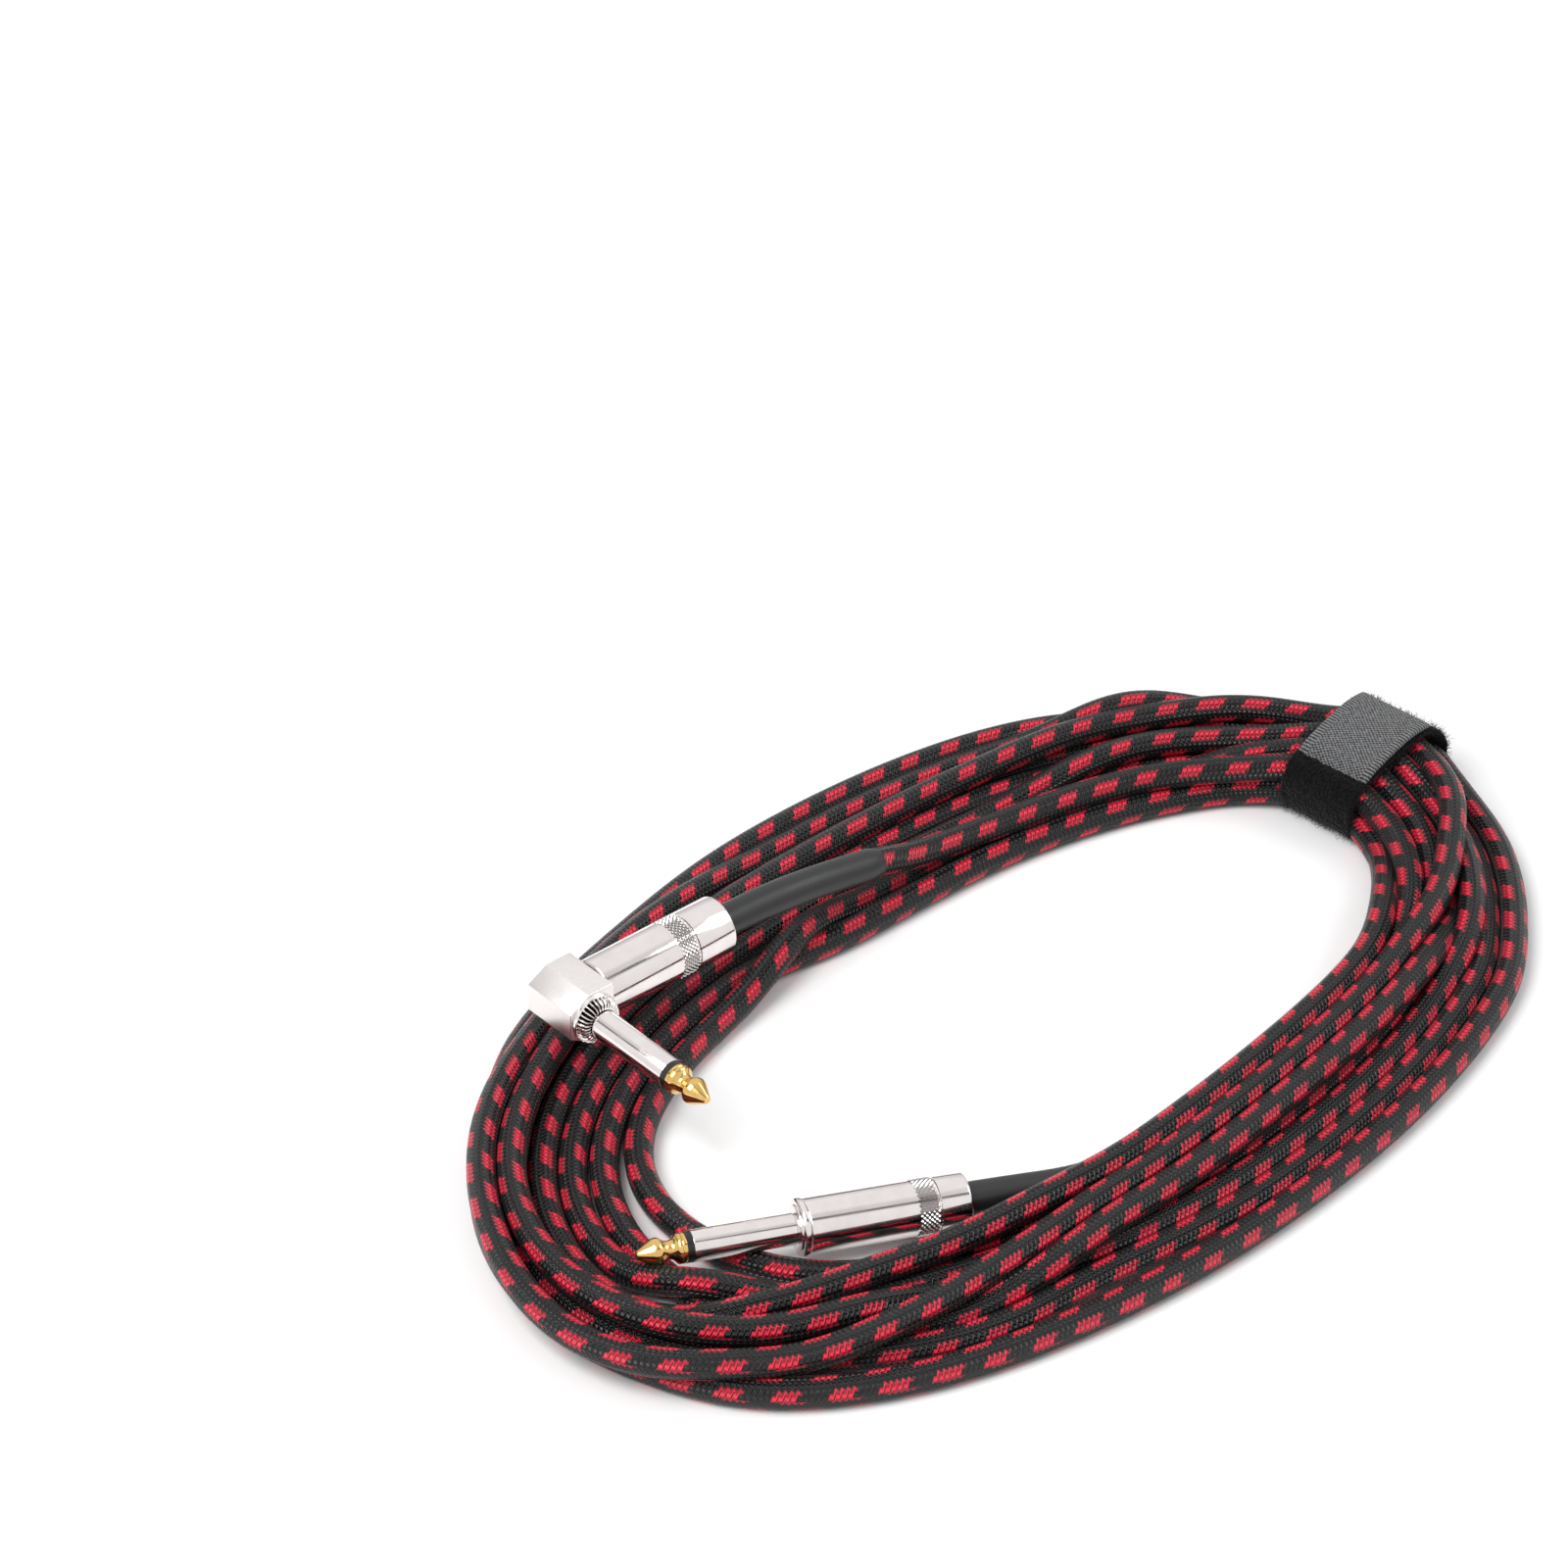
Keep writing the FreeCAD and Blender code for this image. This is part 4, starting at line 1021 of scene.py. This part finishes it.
# A tape that follows a line in the XZ plane, as wide as it is told to be, with its UV map in millimetres
def tapeAlong(name, line, width, rows, closed):
    across = np.linspace(-width / 2, width / 2, rows + 1)
    count = len(line)
    vertices = [(p[0] * mm, y * mm, p[2] * mm) for p in line for y in across]
    along = np.concatenate([[0], np.cumsum(np.linalg.norm(np.diff(line, axis=0), axis=1))])
    along = np.append(along, along[-1] + np.linalg.norm(line[0] - line[-1]))
    faces = []
    maps = []
    for i in range(count if closed else count - 1):
        k = (i + 1) % count
        for j in range(rows):
            a, b = i * (rows + 1) + j, k * (rows + 1) + j
            faces.append((a, a + 1, b + 1, b))
            maps += [along[i], across[j], along[i], across[j + 1], along[i + 1], across[j + 1], along[i + 1],
                     across[j]]
    mesh = bpy.data.meshes.new(name)
    mesh.from_pydata(vertices, [], faces)
    mesh.uv_layers.new(name="alongTape")
    mesh.uv_layers["alongTape"].data.foreach_set("uv", np.array(maps, np.float32))
    piece = bpy.data.objects.new(name, mesh)
    bpy.context.collection.objects.link(piece)
    return piece


def thicken(piece, thickness, grain, ripple):
    editAll(piece)
    bpy.ops.mesh.normals_make_consistent(inside=False)
    workOn(piece)
    wall = piece.modifiers.new("wall", "SOLIDIFY")
    wall.thickness = thickness * mm
    wall.offset = 0
    smooth = piece.modifiers.new("smooth", "SUBSURF")
    smooth.levels = smooth.render_levels = 1
    texture = bpy.data.textures.new(piece.name + "Ripple", "CLOUDS")
    texture.noise_scale = grain * mm
    push = piece.modifiers.new("ripple", "DISPLACE")
    push.texture = texture
    push.texture_coords = "LOCAL"
    push.strength = ripple * mm
    applyModifiers(piece)
    workOn(piece)
    bpy.ops.object.shade_smooth_by_angle(angle=math.radians(60))


# The nap: short curved fibres that stand out of the band's outer face and edges
def napFibres(name, band):
    random = np.random.default_rng(tie["seed"])
    mesh = band.data
    count = len(mesh.polygons)
    centres = np.zeros(count * 3)
    mesh.polygons.foreach_get("center", centres)
    normals = np.zeros(count * 3)
    mesh.polygons.foreach_get("normal", normals)
    centres, normals = centres.reshape(-1, 3) / mm, normals.reshape(-1, 3)
    middle = np.array(tie["middle"])
    outward = ((centres - middle) * normals)[:, [0, 2]].sum(1) > 0
    rim = np.abs(normals[:, 1]) > 0.5
    chance = np.where(rim, 3.0,
                      np.where(outward & (np.abs(centres[:, 1]) > 7.5), 1.6, np.where(outward, 0.8, 0.0)))
    picks = random.choice(count, tie["fibres"], p=chance / chance.sum())
    roots = centres[picks] + random.normal(0, 0.35, (len(picks), 3))
    ways = normals[picks] + random.normal(0, 0.75, (len(picks), 3))
    ways /= np.linalg.norm(ways, axis=1)[:, None]
    bends = ways + random.normal(0, 0.7, (len(picks), 3))
    bends /= np.linalg.norm(bends, axis=1)[:, None]
    sides = np.cross(ways, bends)
    sides /= np.maximum(np.linalg.norm(sides, axis=1), 0.001)[:, None]
    lengths = random.uniform(*tie["fibreLength"], len(picks))[:, None]
    half = sides * tie["fibreWidth"] / 2
    knees = roots + ways * lengths * 0.5
    ends = knees + bends * lengths * 0.5
    knees[:, 2] = np.maximum(knees[:, 2], 0.05)
    ends[:, 2] = np.maximum(ends[:, 2], 0.05)
    roots[:, 2] = np.maximum(roots[:, 2], 0.1)
    ends[:, 0] = np.minimum(ends[:, 0], tie["napReach"])
    vertices = np.stack([roots - half, roots + half, knees - half, knees + half, ends], 1).reshape(-1,
                                                                                                   3) * mm
    faces = []
    for i in range(0, len(vertices), 5):
        faces += [(i, i + 1, i + 3, i + 2), (i + 2, i + 3, i + 4)]
    nap = bpy.data.meshes.new(name)
    nap.from_pydata([tuple(v) for v in vertices], [], faces)
    piece = bpy.data.objects.new(name, nap)
    bpy.context.collection.objects.link(piece)
    return piece


def buildTie():
    ring = readSpline([(x, 0, z) for x, z in tie["section"]], "tieSection", True)
    ring, _ = evenPoints(np.concatenate([ring, ring[:1]]), 0.8)
    band = tapeAlong("loopBand", ring[:-1], tie["width"] - 0.8, 18, True)
    thicken(band, tie["thickness"] - 0.3, 1.6, 0.3)
    loops = loopMaterial()
    dress(band, loops)
    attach(band, "cable")
    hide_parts("tie_band")
    nap = napFibres("loopNap", band)
    dress(nap, loops)
    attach(nap, "cable")
    line, _ = evenPoints(readSpline([(x, 0, z) for x, z in tie["tabLine"]], "tabLine"), 0.8)
    tab = tapeAlong("hookTab", line, tie["tabWidth"], 18, False)
    thicken(tab, tie["tabThickness"], 2.2, 0.15)
    dress(tab, hookMaterial())
    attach(tab, "tie_hook_tab")
    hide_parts("tie_hook_tab")


buildTie()
print("tie: loop band, nap and hook tab")

# The pieces inside the plugs keep their CAD shape and get their own finishes
for name, node in cadNodes.items():
    _, _, kind = name.partition("_")
    if kind in nodeFinishes:
        node.data.materials.clear()
        node.data.materials.append(nodeFinishes[kind])
print("inner pieces dressed")
